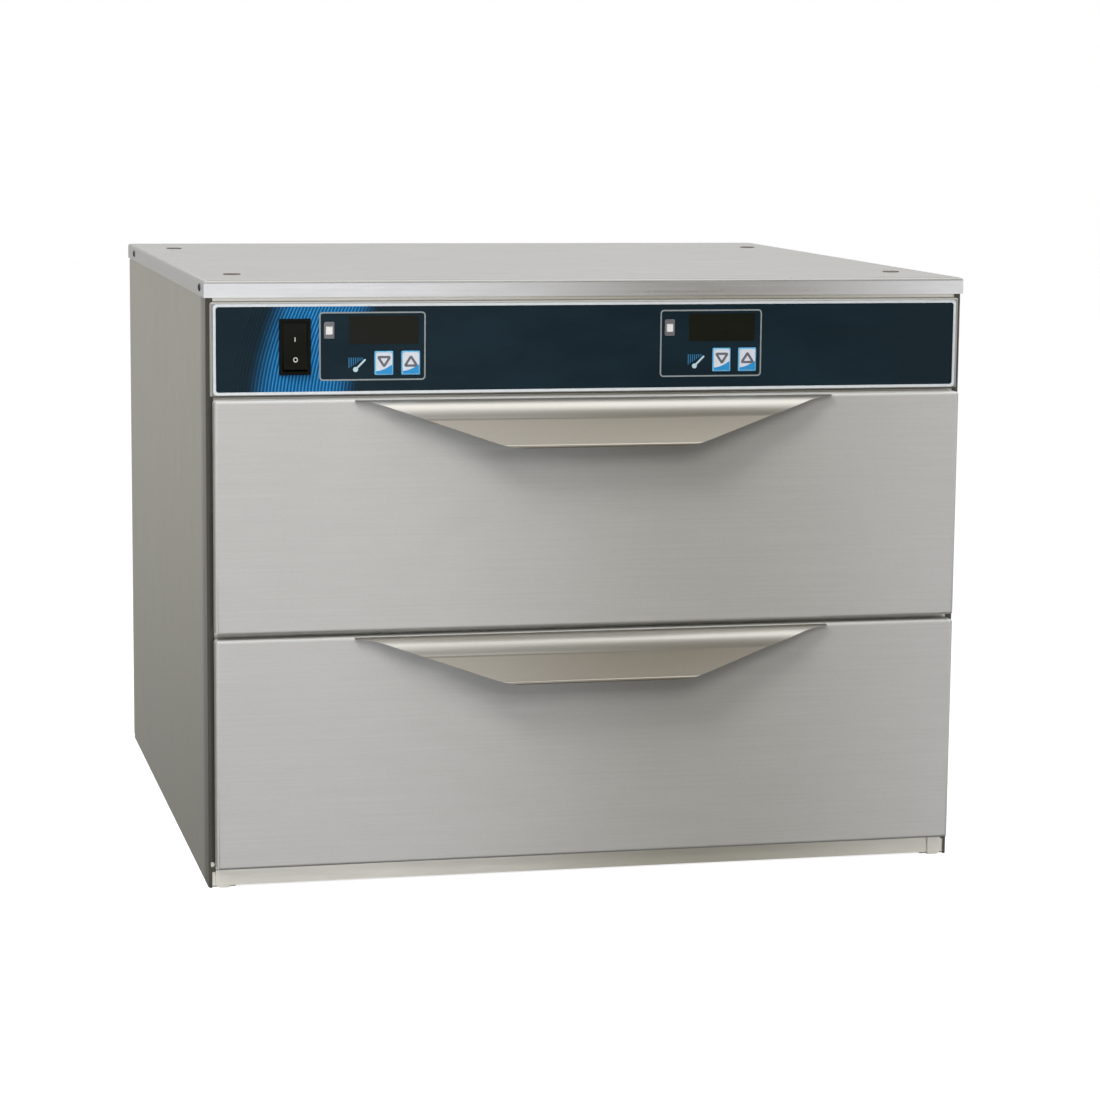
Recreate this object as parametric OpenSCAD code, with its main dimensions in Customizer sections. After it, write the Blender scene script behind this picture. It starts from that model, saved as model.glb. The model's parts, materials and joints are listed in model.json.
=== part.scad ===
// Countertop warming drawer: two insulated drawers on telescopic slides under a control panel.
// Millimetres, +Z up, the drawers open towards -Y. Origin at the middle of the footprint, on the table.

/* [Cabinet] */
// Width over the folded lips of the top
cabinet_w = 624; // [612:1:760]
// Depth from the front lip to the back
cabinet_d = 610; // [580:1:760]
// Thickness of the outer sheets
skin_t = 1.2; // [0.8:0.1:2]
// Outside radius of the bends of the outer sheets
bend_r = 2.6; // [2.2:0.1:4]
// Thickness of each side wall, from the lip to the cavity
wall_w = 22; // [18:0.5:26]
// Depth of the back wall, from the cavity to the back panel
back_wall_d = 34; // [28:1:60]
// Height of the drawer fronts above the table
plinth_h = 17.5; // [14:0.5:40]
// Gap under the base rail
rail_lift = 1.5; // [0.5:0.5:6]

/* [Top] */
// Height of the folded lips of the top
lip_h = 13.3; // [10:0.1:25]
// Strip of the frame that shows between the lip and the fascia
strip_h = 2.9; // [1:0.1:10]
// Width of the open seams at the corners of the lips
corner_seam = 0.5; // [0.2:0.1:1]
// Diameter of the plug heads in the top
plug_d = 14; // [10:0.5:24]
// Diameter of the plug holes
plug_hole_d = 10; // [6:0.5:16]
// Distance of the plugs from the sides
plug_inset_x = 33; // [20:1:80]
// Distance of the front plugs from the front lip
plug_front = 86; // [40:1:160]
// Distance of the back plugs from the back
plug_back = 100; // [40:1:160]

/* [Drawer fronts] */
// Height of each drawer front
front_h = 185; // [178:1:260]
// Gap between the two drawer fronts
front_gap = 4; // [2:0.5:10]
// Distance of the fronts from the sides of the top
front_inset = 6; // [5:0.5:10]
// How far the fronts stand before the front lip
front_proud = 14; // [10:0.5:30]
// Thickness of the sheet of the fronts
front_sheet = 1; // [0.8:0.1:1.5]
// Radius of the bends of the fronts
front_r = 3; // [1.6:0.1:5]
// Overlap of a front over the rim of its opening, top and bottom
open_margin = 10; // [8:0.5:14]
// Depth of the plug of the inner panel inside the opening
plug_depth = 14; // [8:1:30]
// Clearance round the plug of the inner panel
plug_clear = 3; // [1.5:0.5:8]
// Thickness of the gasket
gasket_t = 3.5; // [2.6:0.1:6]
// Width of the gasket
gasket_w = 7; // [4:0.5:8]
// Gap left between gasket and frame when shut
gasket_gap = 0.3; // [0.1:0.1:0.5]

/* [Handles] */
// Width of a handle along its top
handle_w = 391; // [300:1:520]
// Width of the flat bottom edge
handle_flat_w = 116; // [60:1:200]
// Height of a handle
handle_h = 38; // [30:0.5:60]
// Reach of a handle before its drawer front
handle_reach = 27.5; // [23:0.5:45]
// Radius of the rounded top of a handle
bull_r = 16; // [12:0.5:20]
// Thickness of the handle sheet
handle_t = 1.5; // [1:0.1:2.5]
// Radius of the hem along the lower edge
hem_r = 1.5; // [1.2:0.1:3]
// Length over which the outline is eased from its flat into a flank
flank_ease_low = 16; // [3:0.5:24]
// Length over which the outline is eased from a flank into its tip
flank_ease_top = 13; // [3:0.5:24]
// Height of the outer tips of a handle
handle_tip_h = 0.8; // [0.4:0.1:3]
// Drop of the handle below the top of its front
handle_drop = 0.6; // [0.2:0.1:5]
// Height of the flange that lies on the drawer front
handle_flange_h = 12; // [9:0.5:13]
// Spacing of the handle screws
handle_screw_gap = 150; // [80:1:180]

/* [Food pans] */
// Gap between the rim of a pan and the side of its drawer frame
pan_side_gap = 12.3; // [1:0.1:60]
// Depth of the body of a pan, front to back
pan_d = 376; // [240:1:390]
// Inside height of a pan
pan_h = 118; // [60:1:124]
// Width of the rim of a pan
pan_rim = 12; // [9:0.5:14]
// Thickness of a pan
pan_t = 0.9; // [0.6:0.1:1.5]
// Radius of the upright corners of a pan
pan_corner_r = 44; // [24:1:60]
// Radius along the bottom of a pan
pan_floor_r = 18; // [8:1:22]
// Inward lean of the walls of a pan, from rim to floor
pan_lean = 7; // [2:0.5:14]
// Clearance between a pan rim and the roof of its cavity
pan_roof_gap = 9; // [5:0.5:20]
// Clearance between a pan and the frame it hangs in
pan_clear = 1.5; // [0.5:0.5:3]

/* [Slides] */
// Length of the closed slides
slide_len = 480; // [440:1:510]
// Travel of a drawer
travel = 420; // [300:1:430]
// Height of a slide
slide_h = 45; // [40:1:60]
// Thickness of a slide between cavity wall and drawer frame
slide_t = 12.7; // [12:0.1:16]
// Thickness of the rail sheets
rail_t = 1.4; // [1.2:0.1:1.6]
// Diameter of the balls
ball_d = 4; // [3:0.1:4.5]
// Clearance of a ball in its races
ball_clear = 0.1; // [0.05:0.01:0.2]
// Depth of the race in each rail
race_depth = 0.4; // [0.2:0.1:0.6]
// Number of balls in one row
ball_count = 8; // [3:1:14]
// Spacing of the balls in a row
ball_gap = 24; // [10:1:26]
// Distance of the rails from the front frame
slide_setback = 5; // [4:0.5:12]
// Thickness of the drawer frame
drawer_frame_t = 1.5; // [1:0.1:2.5]

/* [Heat] */
// Diameter of the heater tubes
heater_d = 8; // [6:0.5:12]
// Height of a heater above the cavity floor
heater_lift = 18; // [12:0.5:22]
// Spacing of the runs of a heater
heater_pitch = 100; // [60:1:120]
// Thickness of the cavity liners
liner_t = 0.8; // [0.6:0.1:1.5]
// Diameter of the temperature probes
probe_d = 6.4; // [4:0.1:10]
// Length of the temperature probes
probe_len = 80; // [50:1:140]

/* [Control panel] */
// Height of the control fascia
fascia_h = 75; // [70:1:110]
// Gap between the fascia and the upper drawer front
fascia_gap = 1.3; // [1:0.1:6]
// How far the fascia stands before the front lip
fascia_proud = 2; // [1.5:0.1:6]
// Distance of the fascia from the sides of the top
fascia_inset = 4; // [3.5:0.1:8]
// Radius of the edges of the fascia
fascia_r = 3; // [1.8:0.1:3.1]
// Thickness of the printed overlay
overlay_t = 0.5; // [0.3:0.1:1]
// Bare edge of the fascia round the overlay
overlay_inset_x = 2.5; // [1.5:0.1:8]
// Bare edge of the fascia above and below the overlay
overlay_inset_z = 1.8; // [1:0.1:6]
// Height of the controls above the middle of the fascia
control_rise = 2; // [-2:0.5:3]
// Place of the left control module from the middle
left_module_x = -179.5; // [-190:0.5:-150]
// Place of the right control module from the middle
right_module_x = 97; // [20:0.5:240]
// Width of a control module
module_w = 84; // [82:1:92]
// Height of a control module
module_h = 54; // [52:1:58]
// Depth of a control module
module_d = 30; // [15:1:80]
// Width of a display window
display_w = 55; // [40:0.5:58]
// Height of a display window
display_h = 22; // [14:0.5:24]
// Width of an indicator lens
lens_w = 8; // [4:0.5:10]
// Height of an indicator lens
lens_h = 13; // [6:0.5:18]
// Width of a key
key_w = 15.5; // [10:0.5:18]
// Height of a key
key_h = 19.4; // [12:0.2:21]
// Distance between the two keys of a module
key_gap = 21.5; // [20:0.5:23]
// Travel of a key
key_travel = 0.8; // [0.3:0.1:1.2]
// How far a key stands before the overlay
key_proud = 1; // [0.5:0.1:2]

/* [Rocker switch] */
// Place of the switch from the middle
switch_x = -241.2; // [-260:0.2:-238]
// Width of the switch bezel
switch_w = 25; // [22:0.5:28]
// Height of the switch bezel
switch_h = 44; // [40:0.5:52]
// Thickness of the bezel before the overlay
bezel_t = 2; // [1:0.1:3]
// Depth of the switch body
switch_d = 26; // [20:1:40]
// Full swing of the rocker in degrees
rocker_swing = 14; // [8:1:18]

/* [Base and back] */
// Thread diameter of the leg sockets
leg_bore_d = 8.5; // [6:0.1:12]
// Distance of the leg sockets from the sides
leg_inset_x = 42; // [36:1:90]
// Distance of the leg sockets from front and back
leg_inset_y = 46; // [30:1:90]
// Height of the leg sockets
leg_socket_h = 12; // [6:0.5:16]
// Bore of the cord gland
gland_bore_d = 9; // [6:0.5:12]
// Distance of the cord gland from the side of the cabinet
gland_inset = 87; // [40:1:200]
// Reach of the cord gland behind the back panel
gland_out = 16; // [10:0.5:30]
// Number of louvres in a group
louvre_count = 5; // [1:1:6]
// Width of a louvre
louvre_w = 70; // [20:1:110]
// Spacing of the louvres
louvre_gap = 9; // [8:0.5:12]

/* [Hidden] */
$fn = 48;
eps = 0.01;

// Finishes as the photo shows them
brushed = [0.74, 0.73, 0.70];
side_steel = [0.58, 0.57, 0.52];
inner_steel = [0.66, 0.66, 0.65];
dark = [0.12, 0.12, 0.12];
sheath = [0.35, 0.34, 0.33];
copper = [0.72, 0.55, 0.40];
ivory = [0.90, 0.88, 0.80];
navy = [0.10, 0.16, 0.20];
wool = [0.86, 0.82, 0.62];
key_blue = [0.72, 0.80, 0.86];

// Overall depth, and the planes across it
overall_d = handle_reach + front_proud + cabinet_d + gland_out;
face_y = -overall_d / 2 + handle_reach + front_proud;
back_y = face_y + cabinet_d;
frame_sheet = 1.5;
frame_y = face_y + 2 * skin_t;
frame_back_y = frame_y + frame_sheet;
front_y = face_y - front_proud;
drawer_back_y = frame_y - gasket_gap - gasket_t;
fascia_y = face_y - fascia_proud;
overlay_y = fascia_y - overlay_t;
fascia_back_y = fascia_y + skin_t;

// Widths
side_x = cabinet_w / 2 - skin_t;
side_in_x = side_x - skin_t;
// Inside radius of the bends: what stands in a fold keeps this far off its corner
fold_r = bend_r - skin_t;
open_w = cabinet_w - 2 * wall_w;
front_w = cabinet_w - 2 * front_inset;
drawer_x = open_w / 2 - slide_t;
plug_w = 2 * (drawer_x - plug_clear);

// Heights
open_h = front_h - 2 * open_margin;
upper_front_top = plinth_h + 2 * front_h + front_gap;
fascia_z = upper_front_top + fascia_gap;
lip_z = fascia_z + fascia_h + strip_h;
cabinet_h = lip_z + lip_h;
roof_z = cabinet_h - skin_t;
frame_top_z = roof_z - fold_r;
// The control bay: its floor, and the opening in the front frame behind the fascia
bay_floor_rise = 5;
bay_edge = 3;
bay_floor_z = fascia_z + bay_floor_rise;
bay_open_z = bay_floor_z + bay_edge;
bay_open_h = fascia_h - bay_floor_rise - bay_edge - 4;
control_z = fascia_z + fascia_h / 2 + control_rise;
base_z = 2 * skin_t;

// The cavities
liner_back_y = back_y - back_wall_d;
liner_flange_w = 8;
liner_front_y = frame_back_y;

// The slides: heights of the lips above the middle of a slide, from the outside in
outer_lip = slide_h / 2 - rail_t;
race_gap = ball_d + 2 * ball_clear - 2 * race_depth;
middle_top = outer_lip - race_gap;
middle_lip = middle_top - rail_t;
inner_top = middle_lip - race_gap;
outer_race = (outer_lip + middle_top) / 2;
inner_race = (middle_lip + inner_top) / 2;
race_x = open_w / 2 - slide_t / 2 - 1.2;
slide_y = frame_back_y + slide_setback;
cage_len = (ball_count - 1) * ball_gap + ball_d + 4;
// At full travel the outer cages still lie on the rails of the cabinet
cage_margin = 15;
cage_y = slide_y + travel / 4 + cage_margin;

// The pans: the front rim stands this far behind the inner panel
pan_setback = 14;
pan_w = 2 * (drawer_x - drawer_frame_t - pan_side_gap - pan_rim);
pan_y = drawer_back_y + plug_depth + pan_setback + pan_rim;
frame_end_gap = 6;
frame_ring_len = slide_y + slide_len - drawer_back_y - frame_end_gap;

function front_z(k) = plinth_h + k * (front_h + front_gap);
function open_z(k) = front_z(k) + open_margin;
// The slides sit this far below the middle of the openings
slide_drop = 8;
function slide_z(k) = open_z(k) + open_h / 2 - slide_drop;
function ledge_z(k) = open_z(k) + open_h - pan_roof_gap - pan_t;
function heater_z(k) = open_z(k) + heater_lift;

// ---- helpers ----

// Stands a flat shape in the plane Y-Z and draws it out along X, centred
module along_x(length) {
    translate([-length / 2, 0, 0]) rotate([90, 0, 90]) linear_extrude(length) children();
}

// Stands a flat shape in the plane X-Z and draws it out along Y, from 0
module along_y(length) {
    translate([0, length, 0]) rotate([90, 0, 0]) linear_extrude(length) children();
}

// Rectangle centred on the origin, with round corners
module round_rect(w, h, r) {
    square([w - 2 * r, h], center = true);
    square([w, h - 2 * r], center = true);
    for (x = [-1, 1], y = [-1, 1]) translate([x * (w / 2 - r), y * (h / 2 - r)]) circle(r);
}

// Rectangle from x = 0 with the two corners at x = 0 rounded, centred in y
module nose_rect(d, h, r) {
    translate([r, -h / 2]) square([d - r, h]);
    translate([0, -h / 2 + r]) square([r + eps, h - 2 * r]);
    for (y = [-1, 1]) translate([r, y * (h / 2 - r)]) circle(r);
}

// Block with a rounded front: centred in X and Z, from y = 0 back to y = d
module nose_block(w, d, h, r) {
    intersection() {
        along_x(w) nose_rect(d, h, r);
        translate([0, 0, -h / 2]) linear_extrude(h) mirror([1, 0]) rotate(90) nose_rect(d, w, r);
        along_y(d) round_rect(w, h, r);
    }
}

// Folded tray, open at the back
module folded_tray(w, d, h, r, t) {
    difference() {
        nose_block(w, d, h, r);
        translate([0, t, 0]) nose_block(w - 2 * t, d, h - 2 * t, max(r - t, 0.2));
    }
}

// Flat plate in the plane X-Z with round corners, from y = 0 to y = t
module plate(w, h, t, r) {
    along_y(t) round_rect(w, h, r);
}

// Box between two corners
module block(x0, x1, y0, y1, z0, z1) {
    translate([x0, y0, z0]) cube([x1 - x0, y1 - y0, z1 - z0]);
}

// Screw with a low round head; the head lies on y < 0, the shank runs along +Y
module screw(head_r, head_h, shank_r, shank_len) {
    rotate([90, 0, 0]) {
        difference() {
            cylinder(r = head_r, h = head_h);
            translate([0, 0, head_h - 0.5]) cube([2 * head_r * 0.7, 0.6, 1.2], center = true);
        }
        translate([0, 0, -shank_len]) cylinder(r = shank_r, h = shank_len + eps);
    }
}

// Both sides of the part, mirrored on X = 0
module both_sides() {
    children();
    mirror([1, 0, 0]) children();
}

// ---- cabinet: outer sheets ----

lip_screw_front = 27;
lip_screw_back = 60;
screw_r = 1.9;
screw_hole_r = 2.1;
back_screw_x = side_x - 6.5;

// Hole for a cabinet screw, along its +Y
module screw_hole() {
    translate([0, -1, 0]) rotate([-90, 0, 0]) cylinder(r = screw_hole_r, h = 10);
}

// Places of the screws through the side lips, along the +X side
module lip_screw_places() {
    for (y = [face_y + lip_screw_front, back_y - lip_screw_back])
        translate([cabinet_w / 2, y, lip_z + lip_h / 2]) rotate([0, 0, 90]) children();
}

// Places of the screws through the back panel, both sides
module back_screw_places() {
    for (x = [-back_screw_x, back_screw_x], f = [0.06, 0.35, 0.65, 0.94])
        translate([x, back_y, f * lip_z]) rotate([0, 0, 180]) children();
}

module plug_places() {
    for (x = [-1, 1], y = [face_y + plug_front, back_y - plug_back])
        translate([x * (cabinet_w / 2 - plug_inset_x), y, cabinet_h]) children();
}

// Rectangle standing on y = 0 with its two upper corners rounded
module dome_rect(w, h, r) {
    translate([-w / 2, 0]) square([w, h - r]);
    translate([-w / 2 + r, 0]) square([w - 2 * r, h]);
    for (x = [-1, 1]) translate([x * (w / 2 - r), h - r]) circle(r);
}

module dome_block(w, d, h, r) {
    intersection() {
        translate([0, -d / 2, 0]) along_y(d) dome_rect(w, h, r);
        along_x(w) dome_rect(d, h, r);
    }
}

module top_panel() {
    mid_y = (face_y + back_y) / 2;
    // the seams lie behind the front and back lips, and end a little below the bend
    seam_y = cabinet_d / 2 - skin_t - corner_seam / 2;
    seam_h = lip_h - bend_r - 0.8;
    color(brushed) difference() {
        translate([0, mid_y, lip_z]) dome_block(cabinet_w, cabinet_d, lip_h, bend_r);
        translate([0, mid_y, lip_z - eps])
            dome_block(cabinet_w - 2 * skin_t, cabinet_d - 2 * skin_t,
                       lip_h - skin_t + eps, fold_r);
        for (x = [-1, 1], y = [-1, 1])
            translate([x * cabinet_w / 2, mid_y + y * seam_y, lip_z])
                cube([4 * skin_t, corner_seam, 2 * seam_h], center = true);
        plug_places() translate([0, 0, -skin_t - 1]) cylinder(d = plug_hole_d, h = skin_t + 2);
        both_sides() lip_screw_places() screw_hole();
    }
}

module top_hole_plugs() {
    color(dark) plug_places() {
        cylinder(d = plug_d, h = 0.8);
        translate([0, 0, -skin_t - 3]) cylinder(d = plug_hole_d - 0.4, h = skin_t + 3 + eps);
    }
}

module cabinet_screws() {
    color(dark) {
        both_sides() lip_screw_places() screw(3.2, 1.4, screw_r, 7);
        back_screw_places() screw(3.6, 1.8, screw_r, 7);
    }
}

side_return_f = 5.6;
side_return_b = 14;
side_len = cabinet_d - 2 * skin_t;
side_h = frame_top_z;
runner_w = 22;
relief_r = 2.2;
relief_z = 19;

// Plan of the left half of a folded channel: web along Y, one return towards -X
module channel_end(length, flange) {
    difference() {
        round_rect(2 * flange, length, bend_r);
        round_rect(2 * (flange - skin_t), length - 2 * skin_t, fold_r);
        translate([-flange - 1, -length]) square([flange + 1, 2 * length]);
    }
}

module right_side_sheet() {
    y0 = face_y + skin_t;
    difference() {
        union() {
            intersection() {
                translate([side_x - side_return_f, y0 + side_len / 2, 0])
                    linear_extrude(side_h) channel_end(side_len, side_return_f);
                translate([0, y0 - 1, -1]) cube([cabinet_w, side_len / 2 + 1, side_h + 2]);
            }
            intersection() {
                translate([side_x - side_return_b, y0 + side_len / 2, 0])
                    linear_extrude(side_h) channel_end(side_len, side_return_b);
                translate([0, y0 + side_len / 2 - eps, -1]) cube([cabinet_w, side_len, side_h + 2]);
            }
            translate([side_x - runner_w, y0 + 3 * skin_t, 0])
                cube([runner_w - skin_t / 2, side_len - 6 * skin_t, skin_t]);
        }
        // relief hole and slit at the foot of the front bend
        translate([side_x - side_return_f / 2, y0 - 1, relief_z])
            rotate([-90, 0, 0]) cylinder(r = relief_r, h = 4);
        translate([side_x - side_return_f - 1, y0 - 1, -1])
            cube([side_return_f / 2 + 1, 4, relief_z - 5]);
        lip_screw_places() screw_hole();
        back_screw_places() screw_hole();
    }
}

module right_side_panel() {
    color(side_steel) right_side_sheet();
}

module left_side_panel() {
    color(side_steel) mirror([1, 0, 0]) right_side_sheet();
}

// The two groups of louvres stand at these shares of the cabinet's width from its middle
louvre_shares = [-0.24, 0.05];
louvre_x = louvre_shares * cabinet_w;
louvre_h = 6;
louvre_out = 5;
gland_x = cabinet_w / 2 - gland_inset;
gland_z = bay_floor_z + 34;
gland_thread_r = gland_bore_d / 2 + 3.5;

module louvre_places() {
    for (x = louvre_x, i = [0:louvre_count - 1])
        translate([x, back_y, bay_floor_z + 13 + i * louvre_gap]) children();
}

// Pressed hood of a louvre: a wedge that is open below
module louvre_hood(shrink) {
    along_x(louvre_w - 2 * shrink)
        polygon([[-skin_t, louvre_h - shrink], [louvre_out - shrink, -2 * shrink],
                 [-skin_t, -2 * shrink]]);
}

module back_panel() {
    panel_h = lip_z - rail_lift;
    color(side_steel) difference() {
        union() {
            translate([0, back_y - skin_t, rail_lift + panel_h / 2])
                plate(2 * side_x, panel_h - 0.4, skin_t, 3);
            louvre_places() louvre_hood(0);
        }
        louvre_places() translate([0, -eps, -eps]) louvre_hood(skin_t / 2);
        back_screw_places() screw_hole();
        translate([gland_x, back_y + 1, gland_z])
            rotate([90, 0, 0]) cylinder(r = gland_thread_r + 0.1, h = 5);
    }
}

module leg_places() {
    for (x = [-1, 1], y = [face_y + leg_inset_y, back_y - leg_inset_y])
        translate([x * (cabinet_w / 2 - leg_inset_x), y, base_z]) children();
}

base_y0 = frame_back_y;
floor_back_y = back_y - 2 * skin_t - fold_r;
base_flange_h = 14;

module base_panel() {
    color(side_steel) difference() {
        block(-side_in_x, side_in_x, base_y0, floor_back_y, skin_t, skin_t + base_flange_h);
        block(-side_in_x + skin_t, side_in_x - skin_t, base_y0 - 1, floor_back_y + 1,
              base_z, base_z + base_flange_h);
        leg_places() translate([0, 0, -skin_t - 1]) cylinder(d = leg_bore_d, h = skin_t + 2);
    }
}

// Weld nuts: a collar on a hexagonal base, bored right through
module leg_sockets() {
    color(inner_steel) leg_places() difference() {
        union() {
            cylinder(d = leg_bore_d + 9, h = 5, $fn = 6);
            cylinder(d = leg_bore_d + 5, h = leg_socket_h);
        }
        translate([0, 0, -1]) cylinder(d = leg_bore_d, h = leg_socket_h + 2);
    }
}

frame_return = 12;

module front_frame() {
    inside_x = side_in_x - frame_sheet;
    color(brushed) difference() {
        translate([0, frame_y, rail_lift]) linear_extrude(frame_top_z - rail_lift)
            mirror([1, 0]) rotate(90) nose_rect(frame_return, 2 * side_in_x, fold_r + 0.2);
        block(-inside_x, inside_x, frame_back_y, frame_y + frame_return + 1,
              rail_lift - 1, frame_top_z - frame_sheet);
        // the base panel's flanges reach up here
        block(-side_in_x - 1, side_in_x + 1, frame_back_y, frame_y + frame_return + 1,
              rail_lift - 1, skin_t + base_flange_h + 0.5);
        for (k = [0, 1])
            translate([0, frame_y - 1, open_z(k) + open_h / 2]) plate(open_w, open_h, frame_sheet + 2, 4);
        translate([0, frame_y - 1, bay_open_z + bay_open_h / 2])
            plate(open_w, bay_open_h, frame_sheet + 2, 3);
    }
}

clip_w = 11;
clip_h = 14.5;

// Corner pieces at the foot: plates with one rounded outer corner
module base_corner_clips() {
    x1 = side_x - side_return_f;
    color(brushed) both_sides() translate([0, frame_y - 2, 0]) intersection() {
        translate([x1 - clip_w, 0, 0]) cube([clip_w, 2, clip_h]);
        translate([x1 - clip_w, 0, clip_h]) plate(2 * clip_w, 2 * clip_h, 2, 4);
    }
}

// ---- cabinet: inside ----

module liner(k) {
    len = liner_back_y - liner_front_y;
    mid_z = open_z(k) + open_h / 2;
    color(inner_steel) difference() {
        union() {
            translate([0, liner_front_y, mid_z])
                plate(open_w + 2 * liner_t, open_h + 2 * liner_t, len + liner_t, 4.8);
            translate([0, liner_front_y, mid_z])
                plate(open_w + 2 * liner_flange_w, open_h + 2 * liner_flange_w, liner_t, 6);
        }
        translate([0, liner_front_y - 1, mid_z]) plate(open_w, open_h, len + 1, 4);
        for (x = [-1.5, 1.5])
            translate([x * heater_pitch, liner_back_y - 1, heater_z(k)])
                rotate([-90, 0, 0]) cylinder(d = heater_d + 0.4, h = liner_t + 2);
    }
}

insulation_y0 = frame_y + frame_return + 1;
terminal_len = back_wall_d - 8;

module cabinet_insulation() {
    lx = open_w / 2 + liner_t;
    y1 = liner_back_y + liner_t;
    y2 = floor_back_y;
    low = open_z(0) - liner_t;
    high = open_z(1) + open_h + liner_t;
    color(wool) {
        difference() {
            block(-lx, lx, insulation_y0, y1, base_z, low);
            leg_places() translate([0, 0, -1]) cylinder(d = leg_bore_d + 10, h = leg_socket_h + 1.5);
        }
        block(-lx, lx, insulation_y0, y1, open_z(0) + open_h + liner_t, open_z(1) - liner_t);
        block(-lx, lx, insulation_y0, y1, high, bay_floor_z - skin_t);
        both_sides() block(lx, side_in_x - skin_t, insulation_y0, y1, base_z, bay_floor_z - skin_t);
        difference() {
            block(-side_in_x + skin_t, side_in_x - skin_t, y1, y2, base_z, bay_floor_z - skin_t);
            for (k = [0, 1], x = [-1.5, 1.5])
                translate([x * heater_pitch, y1 - 1, heater_z(k)])
                    rotate([-90, 0, 0]) cylinder(d = heater_d + 8, h = back_wall_d + 2);
            leg_places() translate([0, 0, -1]) cylinder(d = leg_bore_d + 10, h = leg_socket_h + 1.5);
            back_screw_places() rotate([-90, 0, 0]) cylinder(r = screw_r + 0.6, h = 9);
        }
    }
}

module control_bay_floor() {
    y0 = frame_y + frame_return;
    color(inner_steel)
        block(-side_in_x, side_in_x, y0, floor_back_y, bay_floor_z - skin_t, bay_floor_z);
}

heater_front_y = slide_y + 70;
heater_turn_y = liner_back_y - 60;

// One run of the heater tube along Y
module heater_run(y0, y1) {
    translate([0, y0, 0]) rotate([-90, 0, 0]) cylinder(d = heater_d, h = y1 - y0);
}

// Half-turn of the heater tube in plan, open towards +Y
module heater_turn() {
    rotate([0, 0, 180]) rotate_extrude(angle = 180) translate([heater_pitch / 2, 0]) circle(d = heater_d);
}

module heater(k) {
    r = heater_pitch / 2;
    front = heater_front_y + r;
    back = heater_turn_y - r;
    color(sheath) translate([0, 0, heater_z(k)]) {
        for (s = [-1, 1]) {
            translate([s * 3 * r, 0, 0]) heater_run(front, liner_back_y + terminal_len);
            translate([s * 2 * r, front, 0]) heater_turn();
            translate([s * r, 0, 0]) heater_run(front, back);
        }
        translate([0, back, 0]) rotate([0, 0, 180]) heater_turn();
    }
}

clip_plate_t = 2;
clip_plate_w = 18;
// The clips stand at these shares of the heater's length
clip_shares = [0.3, 0.75];

module heater_clips() {
    heater_len = heater_turn_y - heater_front_y;
    color(inner_steel) for (k = [0, 1], x = [-1.5, -0.5, 0.5, 1.5], f = clip_shares)
        translate([x * heater_pitch, heater_front_y + f * heater_len, open_z(k)])
            difference() {
                translate([-clip_plate_w / 2, 0, 0])
                    cube([clip_plate_w, clip_plate_t, heater_lift + heater_d / 2 + 2]);
                translate([0, -1, heater_lift])
                    rotate([-90, 0, 0]) cylinder(d = heater_d + 0.2, h = clip_plate_t + 2);
            }
}

probe_below = 32;
probe_before = 12;
function probe_z(k) = open_z(k) + open_h - probe_below;
probe_y = liner_back_y - probe_before;

module temperature_probes() {
    color(copper) for (k = [0, 1])
        translate([-probe_len / 2, probe_y, probe_z(k)])
            rotate([0, 90, 0]) cylinder(d = probe_d, h = probe_len);
}

module probe_clips() {
    color(inner_steel) for (k = [0, 1], s = [-1, 1])
        translate([s * probe_len * 0.3 - 2, 0, 0]) difference() {
            block(0, 4, probe_y - probe_d, liner_back_y, probe_z(k) - probe_d, probe_z(k) + probe_d);
            translate([-1, probe_y, probe_z(k)]) rotate([0, 90, 0]) cylinder(d = probe_d + 0.2, h = 6);
        }
}

// The terminal block: a foot, a raised bar along it, and a row of clamp wells on each side of the bar
terminal_before = 110;
terminal_foot = [80, 24, 8];
terminal_bar = [80, 10, 17];
well_count = 5;
well_d = 5;
well_edge = 3.5;
well_floor = 4;

module terminal_block() {
    foot = terminal_foot;
    well_gap = foot.x / well_count;
    color(ivory) translate([gland_x - foot.x / 2, back_y - terminal_before, bay_floor_z]) difference() {
        union() {
            cube(foot);
            translate([0, (foot.y - terminal_bar.y) / 2, 0]) cube(terminal_bar);
        }
        for (i = [0:well_count - 1], y = [well_edge, foot.y - well_edge])
            translate([(i + 0.5) * well_gap, y, well_floor]) cylinder(d = well_d, h = foot.z);
    }
}

// Cord gland: locking nut inside, hexagon and dome outside, bored right through
module cord_gland() {
    hex_r = gland_thread_r + 4;
    color(dark) translate([gland_x, back_y, gland_z]) difference() {
        rotate([-90, 0, 0]) {
            cylinder(r = hex_r, h = 5, $fn = 6);
            cylinder(r = hex_r - 2, h = gland_out - 3);
            translate([0, 0, gland_out - 3 - eps])
                cylinder(r1 = hex_r - 2, r2 = gland_thread_r, h = 3 + eps);
            translate([0, 0, -skin_t - 8]) cylinder(r = gland_thread_r, h = skin_t + 8 + eps);
            translate([0, 0, -skin_t - 4]) cylinder(r = hex_r, h = 4, $fn = 6);
        }
        rotate([-90, 0, 0]) translate([0, 0, -20]) cylinder(d = gland_bore_d, h = gland_out + 30);
    }
}

// ---- control panel ----

module_x = [left_module_x, right_module_x];
display_dx = 9;
display_dz = 12.7;
lens_dx = -34.5;
key_dx = 9;
key_dz = -13.5;
cut_clear = 0.2;
body_wall = 1.4;
switch_body_w = switch_w - 2.6;
switch_body_h = switch_h - 2.6;

module display_places(s) {
    translate([module_x[s] + display_dx, 0, control_z + display_dz]) children();
}

module lens_places(s) {
    translate([module_x[s] + lens_dx, 0, control_z + display_dz]) children();
}

// A key's place: s is the module, u is 0 for down and 1 for up
module key_places(s, u) {
    translate([module_x[s] + key_dx + u * key_gap, 0, control_z + key_dz]) children();
}

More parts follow.
